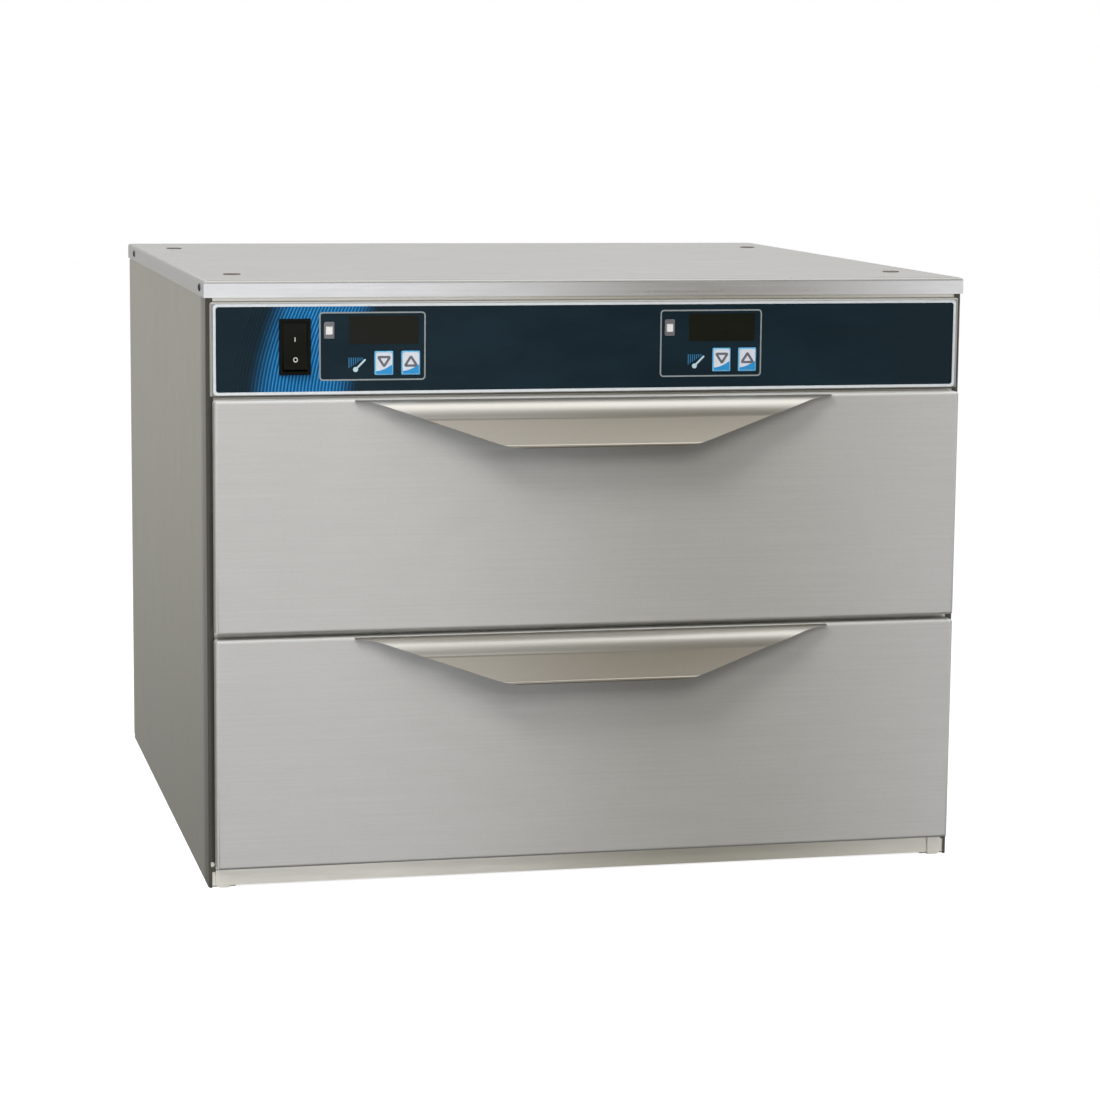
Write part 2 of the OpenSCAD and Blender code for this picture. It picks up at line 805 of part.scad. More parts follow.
// Everything that is cut through the fascia and the overlay
module control_cuts(grow) {
    depth = 12;
    for (s = [0, 1]) {
        display_places(s) translate([0, overlay_y - 1, 0])
            plate(display_w + 2 * grow, display_h + 2 * grow, depth, 1);
        lens_places(s) translate([0, overlay_y - 1, 0])
            plate(lens_w + 2 * grow, lens_h + 2 * grow, depth, 1);
        for (u = [0, 1]) key_places(s, u) translate([0, overlay_y - 1, 0])
            plate(key_w + 2 * grow, key_h + 2 * grow, depth, 2);
    }
    translate([switch_x, overlay_y - 1, control_z])
        plate(switch_body_w + 2 * grow, switch_body_h + 2 * grow, depth, 1);
}

module control_fascia() {
    fascia_d = face_y + skin_t - fascia_y;
    color(brushed) difference() {
        translate([0, fascia_y, fascia_z + fascia_h / 2])
            folded_tray(cabinet_w - 2 * fascia_inset, fascia_d, fascia_h, fascia_r, skin_t);
        control_cuts(cut_clear);
    }
}

module control_overlay() {
    w = cabinet_w - 2 * fascia_inset - 2 * overlay_inset_x;
    h = fascia_h - 2 * overlay_inset_z;
    color(navy) difference() {
        translate([0, overlay_y, fascia_z + fascia_h / 2]) plate(w, h, overlay_t, 3);
        control_cuts(cut_clear);
    }
}

// The windows and lenses lie flush with the overlay and reach back to the modules
module display_windows() {
    color([0.05, 0.09, 0.13]) for (s = [0, 1])
        display_places(s) translate([0, overlay_y, 0])
            plate(display_w, display_h, fascia_back_y - overlay_y, 1);
}

module indicator_lenses() {
    color([0.92, 0.93, 0.9]) for (s = [0, 1])
        lens_places(s) translate([0, overlay_y, 0])
            plate(lens_w, lens_h, fascia_back_y - overlay_y, 1);
}

key_flange = 1.2;
key_flange_t = 1.2;
key_seat_gap = 0.1;

// Housing of a controller, with a pocket behind each key
module control_module(s) {
    color(dark) translate([0, fascia_back_y, 0]) difference() {
        translate([module_x[s], 0, control_z]) plate(module_w, module_h, module_d, 3);
        for (u = [0, 1]) key_places(s, u) translate([0, -1, 0])
            plate(key_w + 2 * key_flange + 1, key_h + 2 * key_flange + 1,
                  1 + key_seat_gap + key_flange_t + key_travel + 1, 2);
    }
}

module key(s, u) {
    seat_y = fascia_back_y + key_seat_gap;
    key_y = overlay_y - key_proud;
    color(key_blue) key_places(s, u) {
        translate([0, key_y, 0])
            nose_block(key_w - 2 * cut_clear, seat_y + key_flange_t - key_y, key_h - 2 * cut_clear, 1);
        translate([0, seat_y, 0])
            plate(key_w + 2 * key_flange, key_h + 2 * key_flange, key_flange_t, 2);
    }
}

// ---- rocker switch ----

rocker_w = switch_body_w - 2 * body_wall - 0.6;
rocker_half_h = switch_body_h / 2 - body_wall - 1;
pivot_depth = 3.6;
pivot_y = overlay_y - bezel_t + pivot_depth;
pin_r = 1.5;

module switch_housing() {
    color(dark) difference() {
        union() {
            translate([switch_x, overlay_y - bezel_t, control_z])
                nose_block(switch_w, bezel_t, switch_h, 1);
            translate([switch_x, overlay_y - eps, control_z])
                plate(switch_body_w, switch_body_h, switch_d, 1);
        }
        translate([switch_x, overlay_y - bezel_t - 1, control_z])
            plate(rocker_w + 0.6, switch_body_h - 2 * body_wall, 16, 0.6);
        translate([switch_x - rocker_w / 2 - 1.2, pivot_y, control_z])
            rotate([0, 90, 0]) cylinder(r = pin_r + 0.05, h = rocker_w + 2.4);
    }
    color(dark) translate([switch_x, overlay_y + switch_d - eps, control_z])
        for (z = [-12, 0, 12]) translate([-3, 0, z - 0.4]) cube([6, 8, 0.8]);
}

// Side view of the rocker at mid swing, before its pivot at the origin; x is towards the user
module rocker_section() {
    dip = rocker_half_h * tan(rocker_swing / 2);
    polygon([
        [3 + dip, rocker_half_h], [3, 0], [3 + dip, -rocker_half_h],
        [1, -rocker_half_h + 0.6], [-3, -5], [-3, 5], [1, rocker_half_h - 0.6]
    ]);
    circle(r = 3);
}

module switch_rocker() {
    color(dark) translate([switch_x, pivot_y, control_z]) {
        rotate([-rocker_swing / 2, 0, 0]) along_x(rocker_w) mirror([1, 0]) rocker_section();
        translate([-rocker_w / 2 - 1, 0, 0]) rotate([0, 90, 0]) cylinder(r = pin_r, h = rocker_w + 2);
    }
}

// ---- slides ----

// Each section lies in X-Z for the +X side, with its middle height at z = 0.
// Rails of the cabinet: web on the cavity wall, lips towards the drawer
module cabinet_rail_section() {
    x1 = open_w / 2;
    difference() {
        translate([x1 - slide_t + 2.2, -slide_h / 2]) square([slide_t - 2.2, slide_h]);
        translate([0, -outer_lip]) square([x1 - rail_t, 2 * outer_lip]);
        for (s = [-1, 1]) translate([race_x, s * outer_race]) circle(ball_d / 2 + ball_clear);
    }
}

module middle_rail_section() {
    x1 = open_w / 2 - rail_t - 0.9;
    difference() {
        translate([x1 - 8.2, -middle_top]) square([8.2, 2 * middle_top]);
        translate([0, -middle_lip]) square([x1 - rail_t, 2 * middle_lip]);
        for (s = [-1, 1]) {
            translate([race_x, s * outer_race]) circle(ball_d / 2 + ball_clear);
            translate([race_x, s * inner_race]) circle(ball_d / 2 + ball_clear);
        }
    }
}

module drawer_rail_section() {
    difference() {
        translate([drawer_x, -inner_top]) square([slide_t - 2 * rail_t - 2.2, 2 * inner_top]);
        translate([drawer_x + rail_t, -inner_top + rail_t]) square([slide_t, 2 * (inner_top - rail_t)]);
        for (s = [-1, 1]) translate([race_x, s * inner_race]) circle(ball_d / 2 + ball_clear);
    }
}

module slide_places(k) {
    both_sides() translate([0, slide_y, slide_z(k)]) children();
}

module cabinet_rails(k) {
    color([0.62, 0.62, 0.63]) slide_places(k) {
        difference() {
            along_y(slide_len) cabinet_rail_section();
            for (f = [0.12, 0.5, 0.88])
                translate([open_w / 2 - rail_t - 1, f * slide_len, 0])
                    rotate([0, 90, 0]) cylinder(r = 2.3, h = rail_t + 2);
        }
        // bent stop at the back
        translate([open_w / 2 - slide_t + 3, slide_len - rail_t, -5])
            cube([slide_t - 3 - eps, rail_t, 10]);
    }
}

module middle_rails(k) {
    color([0.55, 0.55, 0.56]) slide_places(k) along_y(slide_len - rail_t - 1) middle_rail_section();
}

module drawer_rails(k) {
    color([0.66, 0.66, 0.67]) slide_places(k) along_y(slide_len - rail_t - 2) drawer_rail_section();
}

// One row of balls held in a strip
module ball_row() {
    translate([-2.4, 0, -0.5]) cube([4.8, cage_len, 1]);
    for (i = [0:ball_count - 1])
        translate([0, ball_d / 2 + 2 + i * ball_gap, 0]) sphere(d = ball_d, $fn = 24);
}

module ball_cages(k, race_z) {
    color([0.45, 0.45, 0.46]) both_sides() for (s = [-1, 1])
        translate([race_x, cage_y, slide_z(k) + s * race_z]) ball_row();
}

// ---- drawers ----

front_d = drawer_back_y - front_y;

module drawer_front(k) {
    color(brushed) difference() {
        translate([0, front_y, front_z(k) + front_h / 2])
            folded_tray(front_w, front_d, front_h, front_r, front_sheet);
        handle_screw_places(k) translate([0, 2, 0]) rotate([90, 0, 0]) cylinder(r = screw_hole_r, h = 6);
    }
}

panel_t = 1;

// Inner panel: a flange inside the front and a plug that fills the opening
module drawer_inner_panel(k) {
    mid = [0, drawer_back_y - panel_t, front_z(k) + front_h / 2];
    plug_h = open_h - 2 * plug_clear;
    color(inner_steel) translate(mid) difference() {
        union() {
            plate(front_w - 2 * front_sheet, front_h - 2 * front_sheet, panel_t, 2);
            plate(plug_w, plug_h, plug_depth + panel_t, 6);
        }
        translate([0, -1, 0]) plate(plug_w - 2 * panel_t, plug_h - 2 * panel_t, plug_depth + 1, 5);
    }
}

module drawer_insulation(k) {
    gap = 0.2;
    w = plug_w - 2 * panel_t - 2 * gap;
    h = open_h - 2 * plug_clear - 2 * panel_t - 2 * gap;
    inside_y = front_y + front_sheet;
    color(wool) translate([0, 0, front_z(k) + front_h / 2]) difference() {
        union() {
            translate([0, inside_y, 0])
                plate(front_w - 2 * front_sheet - 6, front_h - 2 * front_sheet - 6,
                      drawer_back_y - panel_t - inside_y, 3);
            translate([0, inside_y, 0]) plate(w, h, drawer_back_y + plug_depth - panel_t - inside_y, 5);
        }
        translate([0, 0, -front_z(k) - front_h / 2]) handle_screw_places(k)
            translate([0, -1, 0]) rotate([-90, 0, 0]) cylinder(r = 4.6, h = 9);
    }
}

// The gasket runs round the opening, on the back of the inner panel
module drawer_gasket(k) {
    w = open_w + 2 * gasket_w;
    h = open_h + 2 * gasket_w;
    color(dark) translate([0, drawer_back_y, front_z(k) + front_h / 2]) difference() {
        plate(w, h, gasket_t, 6);
        translate([0, -1, 0]) plate(open_w, open_h, gasket_t + 2, 3);
    }
}

module handle_screw_places(k) {
    screw_z = front_z(k) + front_h - handle_drop - handle_flange_h / 2 - 2;
    for (x = [-1, 0, 1]) translate([x * handle_screw_gap, front_y, screw_z]) children();
}

hem_u = handle_reach - hem_r;
hem_v = -handle_h + hem_r;
crease_v = -handle_drop - bull_r;

// Side view of a handle. x is the reach before the drawer front, y is down from its top
module handle_section() {
    lean = atan2(hem_u - bull_r + handle_t / 2, crease_v - hem_v);
    run = norm([hem_u - bull_r + handle_t / 2, crease_v - hem_v]);
    intersection() {
        translate([0, crease_v]) difference() {
            circle(bull_r, $fn = 96);
            circle(bull_r - handle_t, $fn = 96);
        }
        translate([0, crease_v]) square(bull_r + 1);
    }
    translate([bull_r - handle_t / 2, crease_v]) circle(d = handle_t);
    translate([bull_r - handle_t / 2, crease_v])
        rotate(lean) translate([-handle_t / 2, -run]) square([handle_t, run]);
    translate([hem_u, hem_v]) circle(hem_r);
    translate([0, -handle_drop - handle_flange_h]) square([handle_t, handle_flange_h - handle_t / 2]);
}

// Points of the arc that turns the heading a0 into a1 at a corner, starting reach before it
function eased_corner(corner, reach, a0, a1) =
    let (side = sign(a1 - a0),
         r = reach / tan(abs(a1 - a0) / 2),
         centre = corner - reach * [cos(a0), sin(a0)] + side * r * [-sin(a0), cos(a0)])
    [for (i = [0:8]) let (a = a0 + (a1 - a0) * i / 8) centre - side * r * [-sin(a), cos(a)]];

// Front view of a handle: wide at the top, with eased flanks down to a flat lower edge
module handle_outline() {
    low = [handle_flat_w / 2 + flank_ease_low, -handle_h];
    high = [handle_w / 2 - flank_ease_top, -handle_drop - handle_tip_h];
    flank = atan2(high.y - low.y, high.x - low.x);
    right = concat(eased_corner(low, flank_ease_low, 0, flank),
                   eased_corner(high, flank_ease_top, flank, 0), [[handle_w / 2, 1]]);
    left = [for (i = [len(right) - 1:-1:0]) [-right[i].x, right[i].y]];
    polygon(concat(right, left));
}

module handle(k) {
    color(brushed) translate([0, front_y, front_z(k) + front_h]) difference() {
        intersection() {
            along_x(handle_w) mirror([1, 0]) handle_section();
            translate([0, -handle_reach - 5, 0]) along_y(handle_reach + 6) handle_outline();
        }
        translate([0, -front_y, -front_z(k) - front_h]) handle_screw_places(k)
            translate([0, 1, 0]) rotate([90, 0, 0]) cylinder(r = screw_hole_r, h = handle_t + 2);
    }
}

module handle_screws(k) {
    color(inner_steel) handle_screw_places(k) {
        translate([0, -handle_t, 0]) screw(3.4, 1.8, screw_r, handle_t + front_sheet + 4);
        translate([0, front_sheet, 0]) rotate([-90, 0, 0]) difference() {
            cylinder(r = 4, h = 3, $fn = 6);
            translate([0, 0, -1]) cylinder(r = screw_r - eps, h = 5);
        }
    }
}

// Drawer frame: side rails with a ledge, and two cross bars that carry the pan
module drawer_frame(k) {
    t = drawer_frame_t;
    hole_w = pan_w + 2 * pan_clear;
    hole_y0 = pan_y - pan_clear;
    hole_y1 = pan_y + pan_d + pan_clear;
    web_z = slide_z(k) - slide_h / 2 - 4;
    bar_h = 26;
    z1 = ledge_z(k);
    color(inner_steel) both_sides() {
        block(drawer_x - t, drawer_x, drawer_back_y, drawer_back_y + frame_ring_len, web_z, z1);
        block(hole_w / 2, drawer_x, drawer_back_y + plug_depth, hole_y1 + pan_rim, z1 - t, z1);
        block(-eps, drawer_x, drawer_back_y + plug_depth, hole_y0, z1 - t, z1);
        block(-eps, drawer_x, drawer_back_y + plug_depth, drawer_back_y + plug_depth + t, z1 - bar_h, z1);
        block(-eps, drawer_x, hole_y1, hole_y1 + pan_rim, z1 - t, z1);
        block(-eps, drawer_x, hole_y1 + pan_rim - t, hole_y1 + pan_rim, z1 - bar_h, z1);
    }
}

// Rounded body of a pan, from its rim down; grow sets the inside or the outside face
module pan_body(grow) {
    r = pan_corner_r + grow;
    top_x = pan_w / 2 + grow - pan_t;
    top_y = pan_d / 2 + grow - pan_t;
    floor_r = pan_floor_r + grow;
    hull() {
        for (x = [-1, 1], y = [-1, 1]) {
            translate([x * (top_x - r), y * (top_y - r), -0.5]) cylinder(r = r, h = 0.5, $fn = 40);
            translate([x * (top_x - r - pan_lean), y * (top_y - r - pan_lean), -pan_h - grow + floor_r])
                rotate_extrude($fn = 40) translate([r - floor_r, 0]) intersection() {
                    circle(floor_r, $fn = 24);
                    translate([0, -floor_r]) square([floor_r, 2 * floor_r]);
                }
        }
    }
}

module food_pan(k) {
    color(inner_steel) translate([0, pan_y + pan_d / 2, ledge_z(k)]) difference() {
        union() {
            translate([0, 0, pan_t]) pan_body(pan_t);
            linear_extrude(pan_t) round_rect(pan_w + 2 * pan_rim, pan_d + 2 * pan_rim, pan_rim + 8);
        }
        translate([0, 0, pan_t + eps]) pan_body(0);
    }
}

// ---- the assembly ----

top_panel();
top_hole_plugs();
cabinet_screws();
left_side_panel();
right_side_panel();
back_panel();
base_panel();
leg_sockets();
front_frame();
base_corner_clips();
liner(1);  // upper_liner
liner(0);  // lower_liner
cabinet_insulation();
control_bay_floor();
heater(1);  // upper_heater
heater(0);  // lower_heater
heater_clips();
temperature_probes();
probe_clips();
control_fascia();
control_overlay();
display_windows();
indicator_lenses();
control_module(0);  // left_control_module
control_module(1);  // right_control_module
switch_housing();
terminal_block();
cord_gland();
cabinet_rails(1);  // upper_cabinet_rails
cabinet_rails(0);  // lower_cabinet_rails
middle_rails(1);  // upper_middle_rails
middle_rails(0);  // lower_middle_rails
ball_cages(1, outer_race);  // upper_outer_ball_cages
ball_cages(0, outer_race);  // lower_outer_ball_cages
ball_cages(1, inner_race);  // upper_inner_ball_cages
ball_cages(0, inner_race);  // lower_inner_ball_cages
switch_rocker();
key(0, 0);  // left_down_key
key(0, 1);  // left_up_key
key(1, 0);  // right_down_key
key(1, 1);  // right_up_key
drawer_front(1);  // upper_drawer_front
drawer_insulation(1);  // upper_drawer_insulation
drawer_inner_panel(1);  // upper_drawer_inner_panel
drawer_gasket(1);  // upper_drawer_gasket
handle(1);  // upper_handle
handle_screws(1);  // upper_handle_screws
drawer_frame(1);  // upper_drawer_frame
drawer_rails(1);  // upper_drawer_rails
food_pan(1);  // upper_food_pan
drawer_front(0);  // lower_drawer_front
drawer_insulation(0);  // lower_drawer_insulation
drawer_inner_panel(0);  // lower_drawer_inner_panel
drawer_gasket(0);  // lower_drawer_gasket
handle(0);  // lower_handle
handle_screws(0);  // lower_handle_screws
drawer_frame(0);  // lower_drawer_frame
drawer_rails(0);  // lower_drawer_rails
food_pan(0);  // lower_food_pan
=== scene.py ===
"""Countertop warming drawer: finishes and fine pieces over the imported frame.

Metres, +Z up. The drawers open towards -Y and the origin lies on the table, under the middle of the part.
The frame's bodies carry every piece, so the drawers, the keys and the rocker take their details along.
"""
import json
import logging
import math
from collections.abc import Callable, Sequence
from dataclasses import dataclass
from enum import Enum
from typing import Optional

import bmesh
import bpy
from mathutils import Matrix, Vector
from mathutils.geometry import tessellate_polygon

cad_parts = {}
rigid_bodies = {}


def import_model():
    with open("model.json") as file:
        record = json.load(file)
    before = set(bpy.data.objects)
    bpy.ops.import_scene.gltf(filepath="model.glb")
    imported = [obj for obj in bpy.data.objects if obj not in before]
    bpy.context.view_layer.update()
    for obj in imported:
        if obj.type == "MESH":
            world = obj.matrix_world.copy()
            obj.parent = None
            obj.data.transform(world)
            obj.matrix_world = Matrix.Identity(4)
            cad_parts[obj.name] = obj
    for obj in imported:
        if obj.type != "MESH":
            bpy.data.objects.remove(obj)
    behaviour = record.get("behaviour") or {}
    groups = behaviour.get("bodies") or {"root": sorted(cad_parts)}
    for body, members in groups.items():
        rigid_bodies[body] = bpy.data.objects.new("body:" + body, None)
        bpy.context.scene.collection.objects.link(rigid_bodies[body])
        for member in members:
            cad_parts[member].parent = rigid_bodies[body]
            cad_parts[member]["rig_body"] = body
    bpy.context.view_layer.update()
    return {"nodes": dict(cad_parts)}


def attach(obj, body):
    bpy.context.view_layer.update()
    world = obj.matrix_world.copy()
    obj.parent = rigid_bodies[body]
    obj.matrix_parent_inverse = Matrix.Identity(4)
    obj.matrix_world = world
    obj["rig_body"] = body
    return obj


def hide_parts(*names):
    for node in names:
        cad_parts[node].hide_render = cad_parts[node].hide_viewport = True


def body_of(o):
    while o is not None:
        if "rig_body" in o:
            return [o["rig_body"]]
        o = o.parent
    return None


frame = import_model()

LOG = logging.getLogger("warming_drawer")
MM = 0.001

Triple = tuple[float, float, float]
Colour = Triple
Point = tuple[float, float]
Box = tuple[float, float, float, float]
Loop = list[Point]
Face = bpy.types.MeshPolygon
Material = bpy.types.Material
Mesh = bpy.types.Mesh
Piece = bpy.types.Object
Socket = bpy.types.NodeSocket


def ink(red: int, green: int, blue: int) -> Colour:
    """Linear colour of a screen colour, whose levels go from 0 to 255."""
    def linear(level: int) -> float:
        share = level / 255
        return share / 12.92 if share <= 0.04045 else ((share + 0.055) / 1.055) ** 2.4
    return linear(red), linear(green), linear(blue)


def shaded(colour: Colour, factor: float, lift: float = 0.0) -> Colour:
    """Colour made darker or lighter by a factor and lifted, up to white."""
    return tuple(min(part * factor + lift, 1.0) for part in colour)


# ---- node graphs ----


class Graph:
    """Adds and links the nodes of one node tree."""

    def __init__(self, tree: bpy.types.NodeTree) -> None:
        """Takes the tree that the nodes go into."""
        self.tree = tree

    def add(self, kind: str, inputs: Optional[dict] = None, **settings: object) -> bpy.types.Node:
        """Adds a node.

        Args:
            kind: Blender's name of the node type.
            inputs: values or sockets for its inputs, by name or place.
            settings: properties of the node.

        Returns:
            The new node.
        """
        node = self.tree.nodes.new(kind)
        for key, value in settings.items():
            setattr(node, key, value)
        for key, value in (inputs or {}).items():
            self.feed(node.inputs[key], value)
        return node

    def feed(self, socket: Socket, value: object) -> None:
        """Links one socket or a list of them to an input, or sets the input's value."""
        for part in value if isinstance(value, list) else [value]:
            if isinstance(part, Socket):
                self.tree.links.new(part, socket)
            else:
                socket.default_value = (*part, 1) if socket.type == "RGBA" else part

    def math(self, operation: str, first: object, second: object = 0.0) -> Socket:
        """Result of a Math node on two values or sockets."""
        return self.add("ShaderNodeMath", {0: first, 1: second}, operation=operation).outputs[0]

    def vector(self, x: object = 0.0, y: object = 0.0, z: object = 0.0) -> Socket:
        """Vector of three values or sockets."""
        return self.add("ShaderNodeCombineXYZ", {0: x, 1: y, 2: z}).outputs[0]

    def parts(self, vector: Socket) -> bpy.types.NodeOutputs:
        """Sockets X, Y and Z of a vector."""
        return self.add("ShaderNodeSeparateXYZ", {0: vector}).outputs

    def blend(self, share: object, first: object, second: object, kind: str = "MIX") -> Socket:
        """Mixes two colours by a share."""
        return self.add("ShaderNodeMix", {0: share, 6: first, 7: second}, data_type="RGBA",
                        blend_type=kind).outputs[2]

    def span(self, value: Socket, to_low: float, to_high: float, low: float = 0.3, high: float = 0.7,
             kind: str = "LINEAR") -> Socket:
        """Maps a value from the range of low and high to another range and clamps it."""
        return self.add("ShaderNodeMapRange", {0: value, 1: low, 2: high, 3: to_low, 4: to_high},
                        interpolation_type=kind).outputs[0]

    def curve(self, value: Socket, stops: Sequence[Point], top: float = 3.0) -> Socket:
        """Smooth curve through pairs of a value from -1 to 1 and a level from 0 to top."""
        node = self.add("ShaderNodeFloatCurve", {"Value": self.span(value, 0.0, 1.0, -1.0, 1.0)})
        points = node.mapping.curves[0].points
        for _ in stops[2:]:
            points.new(0.5, 0.5)
        for point, (place, level) in zip(points, stops):
            point.location = (place / 2 + 0.5, level / top)
        node.mapping.update()
        return self.math("MULTIPLY", node.outputs[0], top)


class Surface(Graph):
    """Node graph of one material, with its shader and its output in place."""

    def __init__(self, name: str) -> None:
        """Makes the material of that name."""
        self.material = bpy.data.materials.new(name)
        self.material.use_nodes = True
        super().__init__(self.material.node_tree)
        self.tree.nodes.clear()
        self.shader = self.add("ShaderNodeBsdfPrincipled")
        self.add("ShaderNodeOutputMaterial", {"Surface": self.shader.outputs[0]})

    def set(self, **values: object) -> None:
        """Sets inputs of the shader; an underscore stands for a space."""
        for key, value in values.items():
            self.feed(self.shader.inputs[key.replace("_", " ")], value)

    def place(self, scale: Sequence[float] = (1, 1, 1)) -> Socket:
        """Position on the object, scaled."""
        coords = self.add("ShaderNodeTexCoord").outputs["Object"]
        return self.add("ShaderNodeMapping", {"Vector": coords, "Scale": scale}).outputs[0]

    def noise(self, scale: float, detail: float, stretch: Sequence[float] = (1, 1, 1),
              rough: float = 0.55) -> Socket:
        """Noise of a scale and a detail over the object, which a stretch draws out."""
        return self.add("ShaderNodeTexNoise", {"Scale": scale, "Detail": detail, "Roughness": rough,
                                               "Vector": self.place(stretch)}).outputs["Fac"]

    def bump(self, height: Socket, strength: float, distance: float) -> None:
        """Feeds a height into the shader's normal."""
        node = self.add("ShaderNodeBump", {"Strength": strength, "Distance": distance, "Height": height})
        self.set(Normal=node.outputs[0])


# ---- finishes ----


class Grain(Enum):
    """Direction that a sheet was brushed in, as the stretch of its streaks."""

    ALONG_X = (9.0, 620.0, 620.0)
    ALONG_Y = (620.0, 9.0, 620.0)
    ALONG_Z = (620.0, 620.0, 9.0)
    ROLLED = (90.0, 90.0, 90.0)

    @property
    def along(self) -> Triple:
        """Direction of the brushing."""
        return tuple(float(part == min(self.value)) for part in self.value)


@dataclass(frozen=True)
class SheetSteel:
    """Stainless or coated sheet with streaks, mottling and faint handling marks.

    The share in wear sets how much its gloss varies, and the one in spread how far the brushing spreads
    reflections across itself. Between the two depths in Y of the painted-shade span the colour is painted darker,
    by up to the painted-shade share: a painted shade standing in for the dark reflection beside a folded edge.
    """

    name: str
    colour: Colour
    grain: Grain
    roughness: float
    metallic: float = 0.88
    streak: float = 0.035
    mottle: float = 0.03
    relief: float = 0.05
    wear: float = 1.0
    spread: float = 0.0
    painted_shade_span: Optional[Point] = None
    painted_shade_share: float = 0.78

    def build(self) -> Material:
        """Makes the material."""
        surface = Surface(self.name)
        if self.spread:
            surface.set(Anisotropic=self.spread, Anisotropic_Rotation=0.25,
                        Tangent=surface.vector(*self.grain.along))
        streaks = surface.noise(1.0, 5.0, self.grain.value, 0.62)
        clouds = surface.noise(7.0, 4.0)
        speckle = surface.noise(900.0, 2.0)
        marks = surface.noise(1.6, 6.0, tuple(12 + part * 0.12 for part in self.grain.value), 0.7)
        colour = surface.blend(surface.span(streaks, 0, 1, 0.32, 0.68), shaded(self.colour, 1 - self.streak),
                               shaded(self.colour, 1 + self.streak))
        shade = surface.math("MULTIPLY", surface.span(clouds, 1 - self.mottle, 1.0),
                             surface.span(speckle, 0.975, 1.02))
        tone = surface.add("ShaderNodeCombineColor", {0: shade, 1: shade, 2: shade}).outputs[0]
        colour = surface.blend(1.0, colour, tone, "MULTIPLY")
        # painted shade: the colour grows darker between two depths in Y, standing in for the dark reflection near
        # a front fold
        if self.painted_shade_span:
            share = surface.span(surface.parts(surface.place())["Y"], 0.0, self.painted_shade_share, *self.painted_shade_span)
            colour = surface.blend(share, colour, shaded(self.colour, 0.2))
        change = 0.05 * self.wear
        rough = surface.span(streaks, self.roughness - change, self.roughness + change)
        worn = surface.span(marks, -0.03 * self.wear, 0.04 * self.wear, 0.35, 0.75)
        surface.set(Base_Color=colour, Metallic=self.metallic, Roughness=surface.math("ADD", rough, worn))
        if self.relief:
            surface.bump(streaks, self.relief, 0.00012)
        return surface.material


@dataclass(frozen=True)
class Mottled:
    """Finish of two shades that drift into each other: plastic, ink, a lens, smoked glass or a warm tube.

    The drift has a scale, a detail and a stretch, and takes place between the levels in mix. The roughness
    goes from the one to the other level in rough, with the shades or, where gloss_by_grain is set, with a
    grain. The grain has a scale and a detail, and its relief has a strength and a distance.
    """

    name: str
    shades: tuple[Colour, Colour]
    drift: Point
    rough: Point
    mix: Point = (0.3, 0.7)
    stretch: Triple = (1, 1, 1)
    metallic: float = 0.0
    gloss: float = 0.5
    grain: Optional[Point] = None
    relief: Point = (0.0, 0.0)
    gloss_by_grain: bool = False

    def build(self) -> Material:
        """Makes the material."""
        surface = Surface(self.name)
        drift = surface.noise(*self.drift, self.stretch)
        carrier = drift
        if self.grain:
            grain = surface.noise(*self.grain)
            surface.bump(grain, *self.relief)
            carrier = grain if self.gloss_by_grain else drift
        low, high = self.rough
        surface.set(Base_Color=surface.blend(surface.span(drift, 0, 1, *self.mix), *self.shades),
                    Roughness=low if low == high else surface.span(carrier, low, high),
                    Metallic=self.metallic, Specular_IOR_Level=self.gloss)
        return surface.material


def moulded(name: str, colour: Colour, roughness: float, gloss: float = 0.5) -> Material:
    """Moulded plastic or rubber with a fine spark-eroded grain."""
    return Mottled(name, (shaded(colour, 0.86), shaded(colour, 1.12, 0.001)), (22.0, 4.0),
                   (roughness - 0.05, roughness + 0.06), gloss=gloss, grain=(2400.0, 3.0),
                   relief=(0.18, 0.00006)).build()


def printed(name: str, colour: Colour, roughness: float = 0.4, metallic: float = 0.0) -> Material:
    """Printed colour with the slight unevenness of screen print."""
    return Mottled(name, (shaded(colour, 0.95), shaded(colour, 1.05)), (260.0, 4.0), (roughness, roughness),
                   metallic=metallic).build()


def tinted_tube(name: str, cool: Colour, warm: Colour, roughness: float) -> Material:
    """Metal tube whose colour drifts along it, as heat or handling leaves it."""
    return Mottled(name, (cool, warm), (9.0, 3.0), (roughness - 0.08, roughness + 0.08), (0.35, 0.65),
                   metallic=0.9, grain=(700.0, 4.0), relief=(0.15, 0.0001), gloss_by_grain=True).build()


def glass_wool(name: str) -> Material:
    """Matted yellow glass wool."""
    surface = Surface(name)
    tufts = surface.noise(60.0, 8.0, rough=0.7)
    fibres = surface.noise(1.0, 6.0, (900, 260, 900), 0.7)
    surface.set(Base_Color=surface.blend(tufts, (0.46, 0.37, 0.16), (0.80, 0.72, 0.42)), Roughness=0.95)
    surface.bump(surface.math("ADD", tufts, fibres), 0.8, 0.0015)
    return surface.material


@dataclass(frozen=True)
class GlowBand:
    """Place of the blue band on the overlay: a slanting stripe field that fades out at both sides."""

    centre_x: float = -236 * MM
    foot_z: float = 394.6 * MM
    height: float = 71.4 * MM
    lean: float = 19 * MM
    bow: float = 0.55
    half_width: float = 45 * MM
    fade: float = 24 * MM

    def sway(self, graph: Graph, up: Socket, lean: object) -> Socket:
        """Sideways shift of the band at a share of its height."""
        bent = graph.math("MULTIPLY", graph.math("MULTIPLY", up, up), self.bow)
        return graph.math("MULTIPLY", graph.math("ADD", bent, graph.math("MULTIPLY", up, 1 - self.bow)), lean)

    def share(self, surface: Surface) -> Socket:
        """How strongly a material shows the band at a place, from 0 outside it to 1 in its middle."""
        parts = surface.parts(surface.place())
        up = surface.span(parts["Z"], 0, 1, self.foot_z, self.foot_z + self.height)
        middle = surface.math("ADD", self.sway(surface, up, self.lean), self.centre_x)
        away = surface.math("ABSOLUTE", surface.math("SUBTRACT", parts["X"], middle))
        return surface.span(away, 1.0, 0.0, self.half_width - self.fade, self.half_width, "SMOOTHSTEP")


